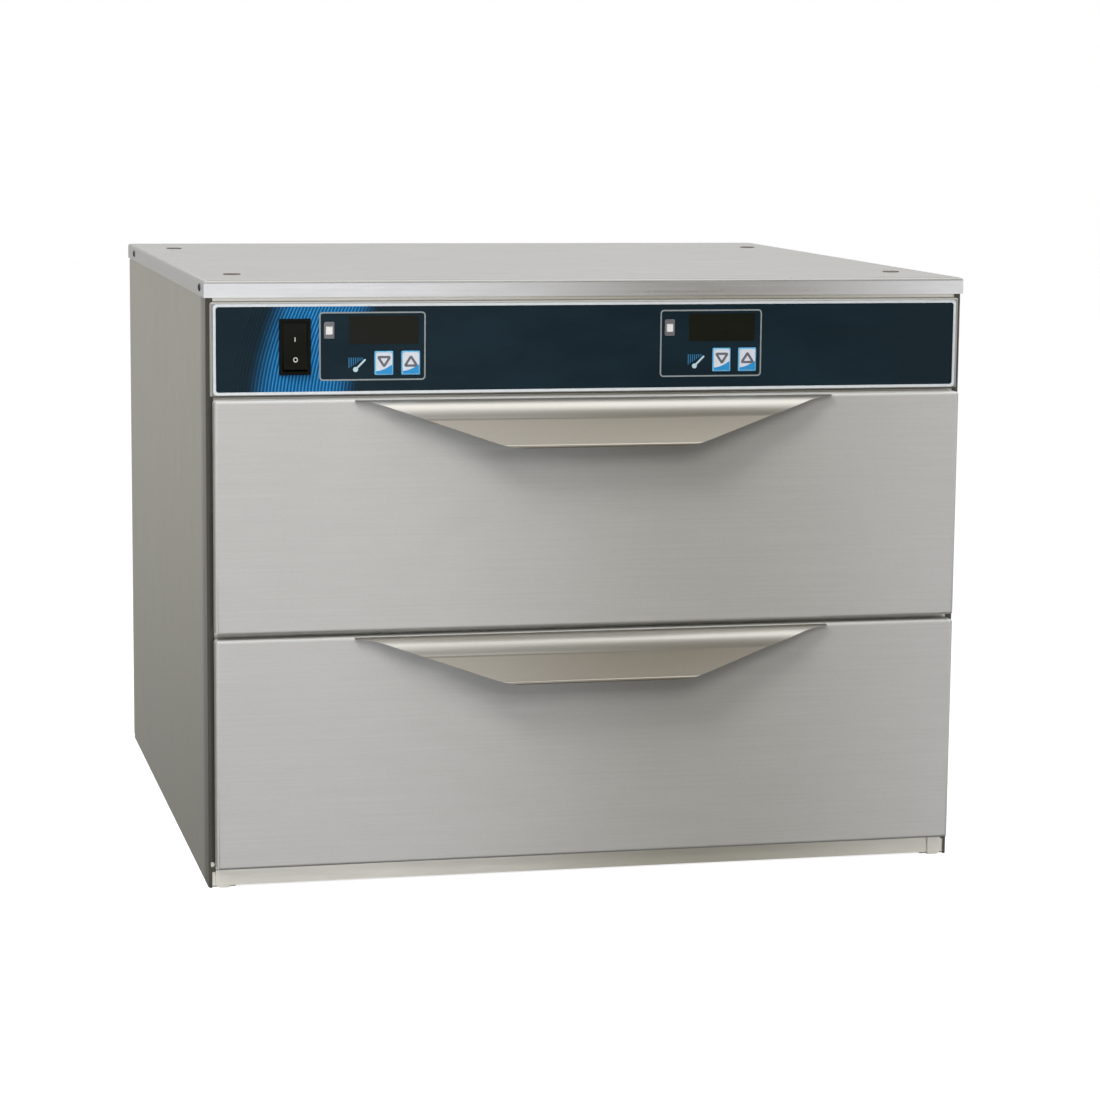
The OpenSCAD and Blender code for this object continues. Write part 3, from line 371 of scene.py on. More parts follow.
def panel_field(name: str, band: Optional[GlowBand]) -> Material:
    """Dark blue of the printed overlay, with the glow of the band where the overlay shows it."""
    surface = Surface(name)
    navy = ink(18, 34, 43)
    clouds = surface.span(surface.noise(9.0, 5.0, (1, 1, 3), 0.6), 0, 1, 0.45, 0.75)
    colour = surface.blend(clouds, navy, shaded(navy, 1.5))
    if band:
        colour = surface.blend(band.share(surface), colour, ink(14, 84, 144))
    grain = surface.noise(1500.0, 2.0)
    surface.set(Base_Color=colour, Roughness=surface.span(grain, 0.36, 0.44), Specular_IOR_Level=0.12)
    surface.bump(grain, 0.08, 0.00005)
    return surface.material


def stripe_ink(name: str, band: GlowBand) -> Material:
    """Bright blue of the pinstripes, which fades into the panel with the band."""
    surface = Surface(name)
    blue = ink(58, 152, 212)
    bright = surface.blend(surface.span(surface.noise(160.0, 3.0), 0, 1), shaded(blue, 0.86), blue)
    surface.set(Base_Color=surface.blend(band.share(surface), ink(18, 38, 50), bright), Roughness=0.4,
                Specular_IOR_Level=0.12)
    return surface.material


# ---- meshes ----


def new_object(name: str, mesh: Mesh) -> Piece:
    """Links a mesh into the scene as an object of that name."""
    piece = bpy.data.objects.new(name, mesh)
    bpy.context.scene.collection.objects.link(piece)
    return piece


def solid(name: str, corners: Sequence[Triple], faces: Sequence[Sequence[int]]) -> Piece:
    """Makes a piece with its doubles merged and its faces outwards.

    Args:
        name: name of the piece.
        corners: its corners.
        faces: its faces, as places in corners.

    Returns:
        The new object.
    """
    mesh = bpy.data.meshes.new(name)
    mesh.from_pydata(corners, [], faces)
    shape = bmesh.new()
    shape.from_mesh(mesh)
    bmesh.ops.remove_doubles(shape, verts=shape.verts, dist=1e-6)
    bmesh.ops.recalc_face_normals(shape, faces=shape.faces)
    shape.to_mesh(mesh)
    shape.free()
    return new_object(name, mesh)


def round_loop(x: float, z: float, width: float, height: float, radius: float, steps: int = 6) -> Loop:
    """Rectangle with round corners in the plane X-Z.

    Args:
        x: its middle in X.
        z: its middle in Z.
        width: its size in X.
        height: its size in Z.
        radius: radius of its corners.
        steps: segments of each corner.

    Returns:
        Its points, anticlockwise.
    """
    loop: Loop = []
    for turn, (sx, sz) in enumerate(((1, 1), (-1, 1), (-1, -1), (1, -1))):
        for step in range(steps + 1):
            angle = math.radians(90 * (turn + step / steps))
            loop.append((x + sx * (width / 2 - radius) + radius * math.cos(angle),
                         z + sz * (height / 2 - radius) + radius * math.sin(angle)))
    return loop


def round_corners(points: Sequence[Point], radius: float, steps: int = 5) -> Loop:
    """Rounds the corners of a polygon.

    Args:
        points: its corners, in order.
        radius: radius of the corners.
        steps: segments of each corner.

    Returns:
        The points of the rounded outline.
    """
    loop: Loop = []
    count = len(points)
    for place in range(count):
        here = Vector(points[place])
        before = (Vector(points[place - 1]) - here).normalized()
        after = (Vector(points[(place + 1) % count]) - here).normalized()
        half = before.angle(after) / 2
        start = here + before * (radius / math.tan(half))
        end = here + after * (radius / math.tan(half))
        centre = here + (before + after).normalized() * (radius / math.sin(half))
        for step in range(steps + 1):
            arm = (start - centre).lerp(end - centre, step / steps).normalized() * radius
            loop.append((centre.x + arm.x, centre.y + arm.y))
    return loop


def slab(name: str, loops: Sequence[Loop], front_y: float, thickness: float) -> Piece:
    """Thin closed plate in the plane X-Z.

    Args:
        name: name of the piece.
        loops: its outline, followed by the outlines of its holes.
        front_y: Y of its front face.
        thickness: its thickness, towards +Y.

    Returns:
        The new object.
    """
    flat = [point for loop in loops for point in loop]
    count = len(flat)
    corners = [(px, y, pz) for y in (front_y, front_y + thickness) for px, pz in flat]
    tris = tessellate_polygon([[Vector((px, pz, 0)) for px, pz in loop] for loop in loops])
    faces = [tuple(tri) for tri in tris] + [tuple(count + place for place in reversed(tri)) for tri in tris]
    start = 0
    for loop in loops:
        size = len(loop)
        for step in range(size):
            first, second = start + step, start + (step + 1) % size
            faces.append((first, second, count + second, count + first))
        start += size
    return solid(name, corners, faces)


def joined(name: str, pieces: Sequence[Piece]) -> Piece:
    """Joins pieces of one finish and one body into one object and removes them."""
    shape = bmesh.new()
    for piece in pieces:
        old = piece.data
        shape.from_mesh(old)
        bpy.data.objects.remove(piece)
        bpy.data.meshes.remove(old)
    mesh = bpy.data.meshes.new(name)
    shape.to_mesh(mesh)
    shape.free()
    return new_object(name, mesh)


def soften(mesh: Mesh, limit: float = 32.0) -> None:
    """Shades a mesh smooth, apart from edges sharper than a limit in degrees."""
    shape = bmesh.new()
    shape.from_mesh(mesh)
    bmesh.ops.remove_doubles(shape, verts=shape.verts, dist=2e-6)
    for face in shape.faces:
        face.smooth = True
    for edge in shape.edges:
        edge.smooth = len(edge.link_faces) == 2 and edge.calc_face_angle() < math.radians(limit)
    shape.to_mesh(mesh)
    shape.free()


def baked(piece: Piece) -> Piece:
    """Turns a piece with modifiers into a plain mesh of its own and takes the modifiers off."""
    graph = bpy.context.evaluated_depsgraph_get()
    graph.update()
    mesh = bpy.data.meshes.new_from_object(piece.evaluated_get(graph), depsgraph=graph)
    mesh.name = piece.name
    piece.modifiers.clear()
    piece.data = mesh
    return piece


def coat(piece: Piece, material: Material) -> None:
    """Gives a piece one material all over."""
    piece.data.materials.clear()
    piece.data.materials.append(material)


def recoat(piece: Piece, material: Material, chosen: Callable[[Face], bool]) -> None:
    """Gives the chosen faces of a piece a second material."""
    piece.data.materials.append(material)
    for face in piece.data.polygons:
        if chosen(face):
            face.material_index = 1


def settle(piece: Piece, body: str, material: Optional[Material]) -> None:
    """Coats a piece, lets it ride on its body and reports it.

    Args:
        piece: the piece.
        body: the body that carries it.
        material: its material, or None where it has one.
    """
    if material:
        coat(piece, material)
    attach(piece, body)
    LOG.info("%s rides on %s", piece.name, body)


def refined(node: str, material: Material) -> Piece:
    """Puts a copy in a CAD node's place whose bends shade smoothly while its flats stay flat.

    Args:
        node: name of the CAD node, whose body the copy takes.
        material: material of the copy.

    Returns:
        The copy.
    """
    original = frame["nodes"][node]
    mesh = original.data.copy()
    soften(mesh)
    piece = new_object(node + "_sheet", mesh)
    weighted = piece.modifiers.new("flats", "WEIGHTED_NORMAL")
    weighted.keep_sharp = True
    weighted.weight = 100
    baked(piece)
    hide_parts(node)
    settle(piece, body_of(original)[0], material)
    return piece


# ---- repeats made by Geometry Nodes ----


class Repeat(Graph):
    """Geometry Nodes tree with named inputs, which ends in real geometry of one material."""

    def __init__(self, name: str, sizes: dict[str, float]) -> None:
        """Makes the tree of a name with an input for each of the named sizes."""
        self.name = name
        self.sizes = sizes
        super().__init__(bpy.data.node_groups.new(name, "GeometryNodeTree"))
        kinds = {label: "Int" if isinstance(value, int) else "Float" for label, value in sizes.items()}
        for label, kind in {"Points": "Geometry", **kinds, "Material": "Material"}.items():
            self.tree.interface.new_socket(label, in_out="INPUT", socket_type="NodeSocket" + kind)
        self.tree.interface.new_socket("Geometry", in_out="OUTPUT", socket_type="NodeSocketGeometry")
        self.given = self.add("NodeGroupInput").outputs

    def shape(self, kind: str, inputs: dict, **settings: object) -> Socket:
        """First output of a Geometry Nodes node."""
        return self.add("GeometryNode" + kind, inputs, **settings).outputs[0]

    def share(self, label: str, factor: float) -> Socket:
        """Share of a named size."""
        return self.math("MULTIPLY", self.given[label], factor)

    def move(self, shape: Socket, shift: Socket) -> Socket:
        """Moves a shape."""
        return self.shape("Transform", {"Geometry": shape, "Translation": shift})

    def copies(self, shape: Socket) -> Socket:
        """One copy of a shape on each point, its +Z along the point's facing."""
        way = self.shape("InputNamedAttribute", {"Name": "facing"}, data_type="FLOAT_VECTOR")
        turn = self.add("FunctionNodeAlignRotationToVector", {"Vector": way}, axis="Z").outputs[0]
        return self.shape("InstanceOnPoints", {"Points": self.given["Points"], "Instance": shape,
                                               "Rotation": turn})

    def finish(self, shape: Socket) -> None:
        """Ends the tree: real geometry with the material set."""
        real = self.shape("RealizeInstances", {0: shape})
        self.add("NodeGroupOutput", {0: self.shape("SetMaterial", {"Geometry": real,
                                                                   "Material": self.given["Material"]})})

    def on(self, name: str, points: Sequence[Triple], facing: Sequence[Triple], material: Material) -> Piece:
        """Runs the tree on points and keeps the result as a plain mesh.

        Args:
            name: name of the new piece.
            points: where the copies go.
            facing: direction that each copy's +Z takes.
            material: material of the copies.

        Returns:
            The new object.
        """
        mesh = bpy.data.meshes.new(name)
        mesh.from_pydata(points, [], [])
        way = mesh.attributes.new("facing", "FLOAT_VECTOR", "POINT")
        way.data.foreach_set("vector", [part for direction in facing for part in direction])
        piece = new_object(name, mesh)
        live = piece.modifiers.new(self.name, "NODES")
        live.node_group = self.tree
        values = {**self.sizes, "Material": material}
        for item in self.tree.interface.items_tree:
            if item.in_out == "INPUT" and item.name in values:
                live[item.identifier] = values[item.name]
        return baked(piece)


def fastener(name: str, sizes: Sequence[float], head: Callable[[Repeat], Socket], sides: int) -> Repeat:
    """Tree of a fastener: a head on a round stem that goes down from it.

    Args:
        name: name of the tree.
        sizes: radius and height of the head, radius and length of the stem.
        head: draws the head, cross_head or dished_head.
        sides: number of sides of the stem.

    Returns:
        The tree.
    """
    tree = Repeat(name, dict(zip(("Head", "Height", "Stem", "Length"), sizes)))
    top = head(tree)
    rod = tree.shape("MeshCylinder", {"Vertices": sides, "Radius": tree.given["Stem"],
                                      "Depth": tree.given["Length"]})
    stem = tree.move(rod, tree.vector(z=tree.share("Length", -0.5)))
    tree.finish(tree.copies(tree.shape("JoinGeometry", {0: [top, stem]})))
    return tree


def cross_head(tree: Repeat) -> Socket:
    """Low round head with a cross recess."""
    radius, height = tree.given["Head"], tree.given["Height"]
    ball = tree.shape("MeshUVSphere", {"Segments": 32, "Rings": 16, "Radius": 1.0})
    dome = tree.shape("Transform", {"Geometry": ball, "Scale": tree.vector(radius, radius, height)})
    depth = tree.share("Height", 2.0)
    block = tree.shape("MeshCube", {"Size": tree.vector(0.05, 0.05, depth)})
    tools = [tree.move(block, tree.vector(z=tree.math("MULTIPLY", depth, -0.5)))]
    arm, slot = tree.share("Head", 1.1), tree.share("Head", 0.26)
    for size in (tree.vector(arm, slot, height), tree.vector(slot, arm, height)):
        tools.append(tree.move(tree.shape("MeshCube", {"Size": size}), tree.vector(z=height)))
    return tree.shape("MeshBoolean", {"Mesh 1": dome, "Mesh 2": tools}, operation="DIFFERENCE", solver="EXACT")


def dished_head(tree: Repeat) -> Socket:
    """Disc with a dished middle."""
    height = tree.given["Height"]
    disc = tree.shape("MeshCylinder", {"Vertices": 48, "Side Segments": 1, "Fill Segments": 1,
                                       "Radius": tree.given["Head"], "Depth": height})
    low = tree.move(disc, tree.vector(z=tree.share("Height", 0.5)))
    ball = tree.shape("MeshUVSphere", {"Segments": 48, "Rings": 24, "Radius": 1.0})
    radius = tree.share("Head", 0.74)
    bowl = tree.shape("Transform", {"Geometry": ball, "Translation": tree.vector(z=height),
                                    "Scale": tree.vector(radius, radius, tree.share("Height", 0.45))})
    return tree.shape("MeshBoolean", {"Mesh 1": low, "Mesh 2": bowl}, operation="DIFFERENCE", solver="EXACT")


@dataclass
class Pinstripes:
    """Fine stripes of the overlay: leaning ribbons side by side, with gaps in the row.

    Each gap has a label, its middle, its size and how far the stripes reach into it.
    """

    band: GlowBand
    gaps: dict[str, tuple[Point, Point, float]]
    first_x: float = -292 * MM
    foot: float = 2.4 * MM
    margin: float = 4.9 * MM
    count: int = 38
    pitch: float = 2.7 * MM
    width: float = 1.15 * MM
    front_y: float = -294.78 * MM
    thickness: float = 0.03 * MM
    steps: int = 70

    def tree(self) -> Repeat:
        """Tree that draws one bowed ribbon, sets it out in a row and cuts the row at the gaps."""
        sizes = {"Count": self.count, "Steps": self.steps, "Pitch": self.pitch, "Width": self.width,
                 "Height": self.band.height - self.margin, "Lean": self.band.lean, "Thickness": self.thickness}
        for label, (middle, size, reach) in self.gaps.items():
            for axis, at, across in zip("XZ", middle, size):
                sizes[f"{label} {axis}"], sizes[f"{label} Half {axis}"] = at, across / 2 - reach
        tree = Repeat("pinstripes", sizes)
        given = tree.given
        step = tree.math("DIVIDE", given["Height"], tree.math("SUBTRACT", given["Steps"], 1.0))
        line = tree.shape("MeshLine", {"Count": given["Steps"], "Offset": tree.vector(z=step)})
        place = tree.shape("InputPosition", {})
        parts = tree.parts(place)
        sway = self.band.sway(tree, tree.math("DIVIDE", parts["Z"], given["Height"]), given["Lean"])
        bent = tree.shape("SetPosition", {"Geometry": line, "Offset": tree.vector(sway)})
        row = tree.shape("MeshLine", {"Count": given["Count"], "Offset": tree.vector(given["Pitch"])})
        placed = tree.shape("InstanceOnPoints", {"Points": row, "Instance": bent})
        first = tree.shape("SampleIndex", {"Geometry": given["Points"], "Value": place},
                           data_type="FLOAT_VECTOR")
        lines = tree.shape("RealizeInstances", {0: tree.move(placed, first)})
        hidden = tree.math("MAXIMUM", *(
            tree.math("MULTIPLY", *(self.within(tree, parts[axis], f"{label} {axis}", f"{label} Half {axis}")
                                    for axis in "XZ")) for label in self.gaps))
        shown = tree.shape("DeleteGeometry", {"Geometry": lines, "Selection": hidden}, domain="POINT")
        profile = tree.shape("CurvePrimitiveQuadrilateral",
                             {"Width": given["Thickness"], "Height": given["Width"]})
        tree.finish(tree.shape("CurveToMesh", {"Curve": tree.shape("MeshToCurve", {0: shown}),
                                               "Profile Curve": profile, "Fill Caps": True}))
        return tree

    @staticmethod
    def within(tree: Repeat, value: Socket, middle: str, half: str) -> Socket:
        """Whether a value lies within half of a middle, both inputs of the tree."""
        off = tree.math("ABSOLUTE", tree.math("SUBTRACT", value, tree.given[middle]))
        return tree.math("LESS_THAN", off, tree.given[half])

    def build(self) -> Piece:
        """Makes the stripes."""
        foot = (self.first_x, self.front_y, self.band.foot_z + self.foot)
        return self.tree().on("panel_pinstripes", [foot], [(0, 0, 1)], stripe_ink("stripe_blue", self.band))


# ---- sub-assemblies ----


@dataclass
class Cabinet:
    """Outer sheets, insulation and fasteners of the cabinet."""

    width: float = 624 * MM
    face_y: float = -292.25 * MM
    back_y: float = 317.75 * MM
    top_z: float = 484 * MM
    lip_z: float = 470.7 * MM
    lip_h: float = 13.3 * MM
    lip_screw_inset: Point = (27 * MM, 60 * MM)
    back_screw_x: float = 304.3 * MM
    back_screw_shares: tuple[float, ...] = (0.06, 0.35, 0.65, 0.94)
    plug_side: float = 33 * MM
    plug_inset: Point = (86 * MM, 100 * MM)
    fold_depth: float = 3 * MM
    # depths in Y over which the sides are painted darker towards their front fold, a painted shade
    painted_shade_strip: Point = (-255 * MM, -276 * MM)

    def at_front(self, face: Face) -> bool:
        """Whether a face lies on the fold or the bend at the sheets' front."""
        return face.center.y < self.face_y + self.fold_depth

    def dress(self) -> None:
        """Gives every node of the cabinet its finish; the folds and the bend at the sheets' front get darker steel
        and the sides are painted darker towards their front, all painted shade.
        """
        top = SheetSteel("brushed_top", (0.62, 0.615, 0.605), Grain.ALONG_X, 0.32).build()
        side = SheetSteel("satin_side", (0.48, 0.465, 0.395), Grain.ALONG_Z, 0.34, painted_shade_span=self.painted_shade_strip).build()
        face = SheetSteel("brushed_frame", (0.78, 0.755, 0.67), Grain.ALONG_X, 0.38, 0.6, spread=0.5).build()
        # painted shade: the sides' front folds are coated in near-black steel, standing in for the shade and dark
        # gap beside the drawer fronts
        fold = SheetSteel("dull_fold", (0.075, 0.072, 0.058), Grain.ALONG_Z, 0.45, streak=0.2).build()
        # painted shade: darker steel on the top's front bend, standing in for the dark reflection along that edge
        edge = SheetSteel("dull_edge", (0.36, 0.355, 0.33), Grain.ALONG_X, 0.4).build()
        inner = SheetSteel("bright_inner", (0.50, 0.50, 0.49), Grain.ALONG_Y, 0.32, relief=0.012, wear=0.5).build()
        zinc = SheetSteel("zinc_plate", (0.44, 0.45, 0.46), Grain.ROLLED, 0.40).build()
        sheath = tinted_tube("heater_sheath_metal", (0.16, 0.15, 0.14), (0.26, 0.22, 0.17), 0.42)
        copper = tinted_tube("probe_tube_metal", (0.52, 0.33, 0.20), (0.66, 0.42, 0.27), 0.32)
        recoat(refined("top_panel", top), edge,
               lambda face: self.at_front(face) and 0.35 < face.normal.z < 0.99)
        for word in ("left", "right"):
            recoat(refined(word + "_side_panel", side), fold,
                   lambda face: self.at_front(face) and abs(face.normal.y) > 0.5)
        plain = {
            "front_frame": face, "base_corner_clips": face, "back_panel": side,
            "cord_gland": moulded("gland_black", ink(22, 22, 23), 0.45), "base_panel": side, "leg_sockets": zinc,
            "upper_liner": inner, "lower_liner": inner, "cabinet_insulation": glass_wool("glass_wool_mat"),
            "control_bay_floor": zinc, "upper_heater": sheath, "lower_heater": sheath, "heater_clips": zinc,
            "temperature_probes": copper, "probe_clips": zinc,
            "terminal_block": moulded("cream_plastic", (0.62, 0.60, 0.50), 0.5),
        }
        for node, material in plain.items():
            refined(node, material)

    def fasteners(self) -> None:
        """Sets the screws and the hole plugs."""
        dark = SheetSteel("blackened_screw", (0.055, 0.055, 0.055), Grain.ROLLED, 0.38, 0.8).build()
        black = moulded("plug_black", ink(92, 82, 78), 0.5)
        front, back = self.lip_screw_inset
        points = [(side * self.width / 2, y, self.lip_z + self.lip_h / 2) for side in (-1, 1)
                  for y in (self.face_y + front, self.back_y - back)]
        facing = [(side, 0, 0) for side in (-1, -1, 1, 1)]
        lip = fastener("lip_screw", (3.2 * MM, 1.4 * MM, 1.9 * MM, 7 * MM), cross_head, 20)
        lip_screws = lip.on("lip_screws", points, facing, dark)
        points = [(side * self.back_screw_x, self.back_y, share * self.lip_z)
                  for side in (-1, 1) for share in self.back_screw_shares]
        rear = fastener("back_screw", (3.6 * MM, 1.8 * MM, 1.9 * MM, 7 * MM), cross_head, 20)
        back_screws = rear.on("back_screws", points, [(0, 1, 0)] * len(points), dark)
        screws = joined("cabinet_screw_set", [lip_screws, back_screws])
        front, back = self.plug_inset
        points = [(side * (self.width / 2 - self.plug_side), y, self.top_z) for side in (-1, 1)
                  for y in (self.face_y + front, self.back_y - back)]
        plug = fastener("hole_plug", (7 * MM, 0.6 * MM, 4.8 * MM, 4.2 * MM), dished_head, 32)
        plugs = plug.on("top_plug_set", points, [(0, 0, 1)] * len(points), black)
        for piece, node, slot, material in ((screws, "cabinet_screws", "dark_fastener", dark),
                                            (plugs, "top_hole_plugs", "black_plastic", black)):
            soften(piece.data)
            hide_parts(node)
            settle(piece, "cabinet", material)


@dataclass
class ControlPanel:
    """Fascia, printed overlay, windows, keys and switch.

    A box is a middle in X and Z, a width and a height. Within a module it counts from the module's middle.
    """

    front_y: float = -294.75 * MM
    middle_z: float = 432.3 * MM
    border: Box = (0.0, 430.3 * MM, 610.8 * MM, 71.2 * MM)
    border_line: float = 2.2 * MM
    module_x: Point = (-179.5 * MM, 97 * MM)
    module_size: Point = (84.8 * MM, 54 * MM)
    module_line: float = 1.1 * MM
    window: Box = (9 * MM, 12.7 * MM, 55.2 * MM, 22.2 * MM)
    lens: Box = (-34.5 * MM, 12.7 * MM, 8.2 * MM, 13.2 * MM)
    bulb: Point = (-13.6 * MM, -18.3 * MM)
    bars: Point = (-19.4 * MM, -8.8 * MM)
    keys_z: float = -13.5 * MM
    key_ways: tuple[tuple[str, float, int], ...] = (("down", 9 * MM, -1), ("up", 30.5 * MM, 1))
    key_size: Point = (15.1 * MM, 19 * MM)
    key_gap: float = 0.8 * MM
    key_proud: float = 1 * MM
    switch_x: float = -241.2 * MM
    switch_size: Point = (25 * MM, 44 * MM)
    rocker_y: float = -293.15 * MM
    film: float = 0.03 * MM
    band: GlowBand = GlowBand()

    def dress(self) -> None:
        """Gives the panel's nodes their finishes."""
        # painted shade: the fascia's steel is coloured darker than the other sheets, so that its rim reads as
        # shade
        refined("control_fascia",
                SheetSteel("brushed_fascia", (0.36, 0.35, 0.32), Grain.ALONG_X, 0.38, spread=0.6).build())
        black = moulded("switch_black", ink(11, 11, 7), 0.38, 0.08)
        for node in ("switch_housing", "left_control_module", "right_control_module"):
            refined(node, black)
        refined("switch_rocker", moulded("rocker_black", ink(14, 14, 9), 0.34, 0.1))
        smoke = ink(27, 28, 22)
        window = Mottled("smoked_window", (shaded(smoke, 0.8), smoke), (40.0, 5.0), (0.24, 0.36), (0.0, 1.0),
                         (1, 1, 2), gloss=0.1)
        lens = Mottled("milky_lens", (ink(238, 240, 242), ink(252, 252, 254)), (300.0, 3.0), (0.25, 0.25),
                       (0.0, 1.0))
        coat(frame["nodes"]["display_windows"], window.build())
        coat(frame["nodes"]["indicator_lenses"], lens.build())
        coat(frame["nodes"]["control_overlay"], panel_field("overlay_blue", self.band))

    def layer(self, name: str, loops: Sequence[Loop], films: int, proud: float = 0.0) -> Piece:
        """Print on the overlay, or on what stands proud of it.

        Args:
            name: name of the piece.
            loops: its outline, followed by the outlines of its holes.
            films: its thickness, in films of ink.
            proud: how far what it lies on stands out from the overlay.

        Returns:
            The new object.
        """
        return slab(name, loops, self.front_y - proud - films * self.film, films * self.film)

    def opening(self, module_x: float, box: Box, radius: float) -> Loop:
        """Outline with round corners of a box in the module at that X."""
        x, z, width, height = box
        return round_loop(module_x + x, self.middle_z + z, width, height, radius)

    def prints(self) -> None:
        """Lays the stripes, the border and the prints and indicator holders of both modules on the overlay."""
        gaps = {"Module": ((self.module_x[0], self.middle_z), self.module_size, 1.6 * MM),
                "Switch": ((self.switch_x, self.middle_z), self.switch_size, 1.0 * MM)}
        settle(Pinstripes(self.band, gaps).build(), "cabinet", None)
        x, z, width, height = self.border
        line = 2 * self.border_line
        border = self.layer("panel_border", [round_loop(x, z, width, height, 2.9 * MM),
                                             round_loop(x, z, width - line, height - line, 2.2 * MM)], 1)
        settle(border, "cabinet", printed("border_silver", ink(222, 228, 234), 0.4, 0.1))
        finishes = {
            "module_fields": panel_field("module_blue", None),
            "module_outlines": printed("outline_grey", ink(150, 158, 162)),
            "thermometer_marks": printed("mark_pale", ink(196, 222, 232)),
            "heat_bar_marks": printed("mark_blue", ink(38, 112, 160)),
            "indicator_holders": moulded("holder_grey", ink(112, 113, 118), 0.4),
        }
        modules = [self.module_prints(x) for x in self.module_x]
        for (name, material), pieces in zip(finishes.items(), zip(*modules)):
            settle(joined(name, pieces), "cabinet", material)

    def module_prints(self, x: float) -> tuple[Piece, ...]:
        """Field, outline, thermometer, heat bars and indicator holder of the module at that X."""
        width, height = self.module_size
        line = 2 * self.module_line
        inner = self.opening(x, (0, 0, width - line, height - line), 2 * MM)
        holes = [self.opening(x, self.window, 1 * MM), self.opening(x, self.lens, 1 * MM)]
        key_width, key_height = (size + self.key_gap for size in self.key_size)
        holes += [self.opening(x, (key_x, self.keys_z, key_width, key_height), 2 * MM)
                  for _, key_x, _ in self.key_ways]
        bulb = Vector((x + self.bulb[0], self.middle_z + self.bulb[1]))
        bars = [self.layer("bar", [self.heat_bar(x + self.bars[0], self.middle_z + self.bars[1], step)], 3)
                for step in range(7)]
        rims = [self.opening(x, (*self.lens[:2], *size), 0.5 * MM)
                for size in ((7.9 * MM, 12.9 * MM), (5.5 * MM, 6.6 * MM))]
        return (self.layer("field", [inner, *holes], 2),
                self.layer("outline", [self.opening(x, (0, 0, width, height), 3 * MM), inner], 3),
                self.layer("tube", [self.thermometer(bulb, 2.0 * MM, 0.75 * MM, 10.6 * MM)], 3),
                joined("bars", bars),
                slab("holder", rims, self.front_y - 0.5 * MM, 0.5 * MM))

    @staticmethod
    def heat_bar(left: float, top: float, step: int) -> Loop:
        """Outline of one of the upright bars of a wedge, which get shorter to the right."""
        height = (8.4 - 1.1 * step) * MM
        return round_loop(left + (0.6 + 1.75 * step) * MM, top - height / 2, 0.85 * MM, height, 0.3 * MM, 2)

    @staticmethod
    def thermometer(bulb: Vector, radius: float, half: float, length: float) -> Loop:
        """Outline of a thermometer that points up to the right.

        Args:
            bulb: middle of its bulb.
            radius: radius of the bulb.
            half: half of the tube's width.
            length: length of the tube from the bulb's middle.

        Returns:
            The outline.
        """
        lean = math.radians(45)
        opening = math.asin(half / radius)
        loop: Loop = []
        for step in range(25):
            angle = lean + opening + 2 * (math.pi - opening) * step / 24
            loop.append((bulb.x + radius * math.cos(angle), bulb.y + radius * math.sin(angle)))
        tip = bulb + Vector((math.cos(lean), math.sin(lean))) * length
        for step in range(7):
            angle = lean + math.pi * (step / 6 - 0.5)
            loop.append((tip.x + half * math.cos(angle), tip.y + half * math.sin(angle)))
        return loop

    def keys(self) -> None:
        """Dresses the four keys and prints a face, a wave and an arrow on each."""
        rim = printed("key_rim_blue", ink(112, 190, 236), 0.38)
        white = printed("key_white", ink(226, 232, 244), 0.42)
        wave = printed("key_wave_blue", ink(40, 150, 218))
        line = printed("key_arrow_grey", ink(104, 104, 116))
        width, height = (size - 2.0 * MM for size in self.key_size)
        for side, module_x in zip(("left", "right"), self.module_x):
            for way, key_x, sign in self.key_ways:
                body = f"{side}_{way}_key"
                refined(body, rim)
                x, z = module_x + key_x, self.middle_z + self.keys_z
                shapes = (("face", [round_loop(x, z, width, height, 1.6 * MM)], white),
                          ("wave", [self.wave_loop(x, z)], wave), ("arrow", self.arrow(x, z, sign), line))
                for films, (word, loops, material) in enumerate(shapes, 1):
                    settle(self.layer(f"{body}_{word}", loops, films, self.key_proud), body,
                           material)

    @staticmethod
    def arrow(x: float, z: float, sign: int) -> list[Loop]:
        """Outlines of an open arrow around the middle of a key; the sign is 1 for up and -1 for down."""
        middle = z + 1.4 * MM
        foot = middle - sign * 4.4 * MM
        corners = [(x - 6.5 * MM, foot), (x + 6.5 * MM, foot), (x, middle + sign * 5.6 * MM)]
        small = [(x + (px - x) * 0.46, middle + (pz - middle) * 0.46 - sign * 0.5 * MM) for px, pz in corners]
        return [round_corners(corners, 1.4 * MM), round_corners(small, 0.4 * MM)]

    def wave_loop(self, x: float, z: float) -> Loop:
        """Outline of the blue wave at the foot of a key's face."""
        half_w, half_h = (size / 2 - 1.1 * MM for size in self.key_size)
        cut = 0.8 * MM
        loop = [(x - half_w + cut, z - half_h), (x + half_w - cut, z - half_h), (x + half_w, z - half_h + cut)]
        for step in range(11):
            share = 1 - step / 10
            rise = (2.2 + 5.2 * share ** 1.8) * MM
            loop.append((x - half_w + 2 * half_w * share, z - half_h + rise))
        return [*loop, (x - half_w, z - half_h + cut)]

    def rocker_marks(self) -> None:
        """Raises the on and off marks of the rocker."""
        x, high = self.switch_x, 0.1 * MM
        bar = slab("mark_on", [round_loop(x, 5.4 * MM, 0.8 * MM, 3.4 * MM, 0.3 * MM, 3)], 0, high)
        ring = slab("mark_off", [round_loop(x, -10.6 * MM, 3.6 * MM, 4.0 * MM, 1.79 * MM, 10),
                                 round_loop(x, -10.6 * MM, 2.2 * MM, 2.6 * MM, 1.09 * MM, 10)], 0, high)
        half_swing = math.radians(7)
        for piece, sign in ((bar, 1), (ring, -1)):
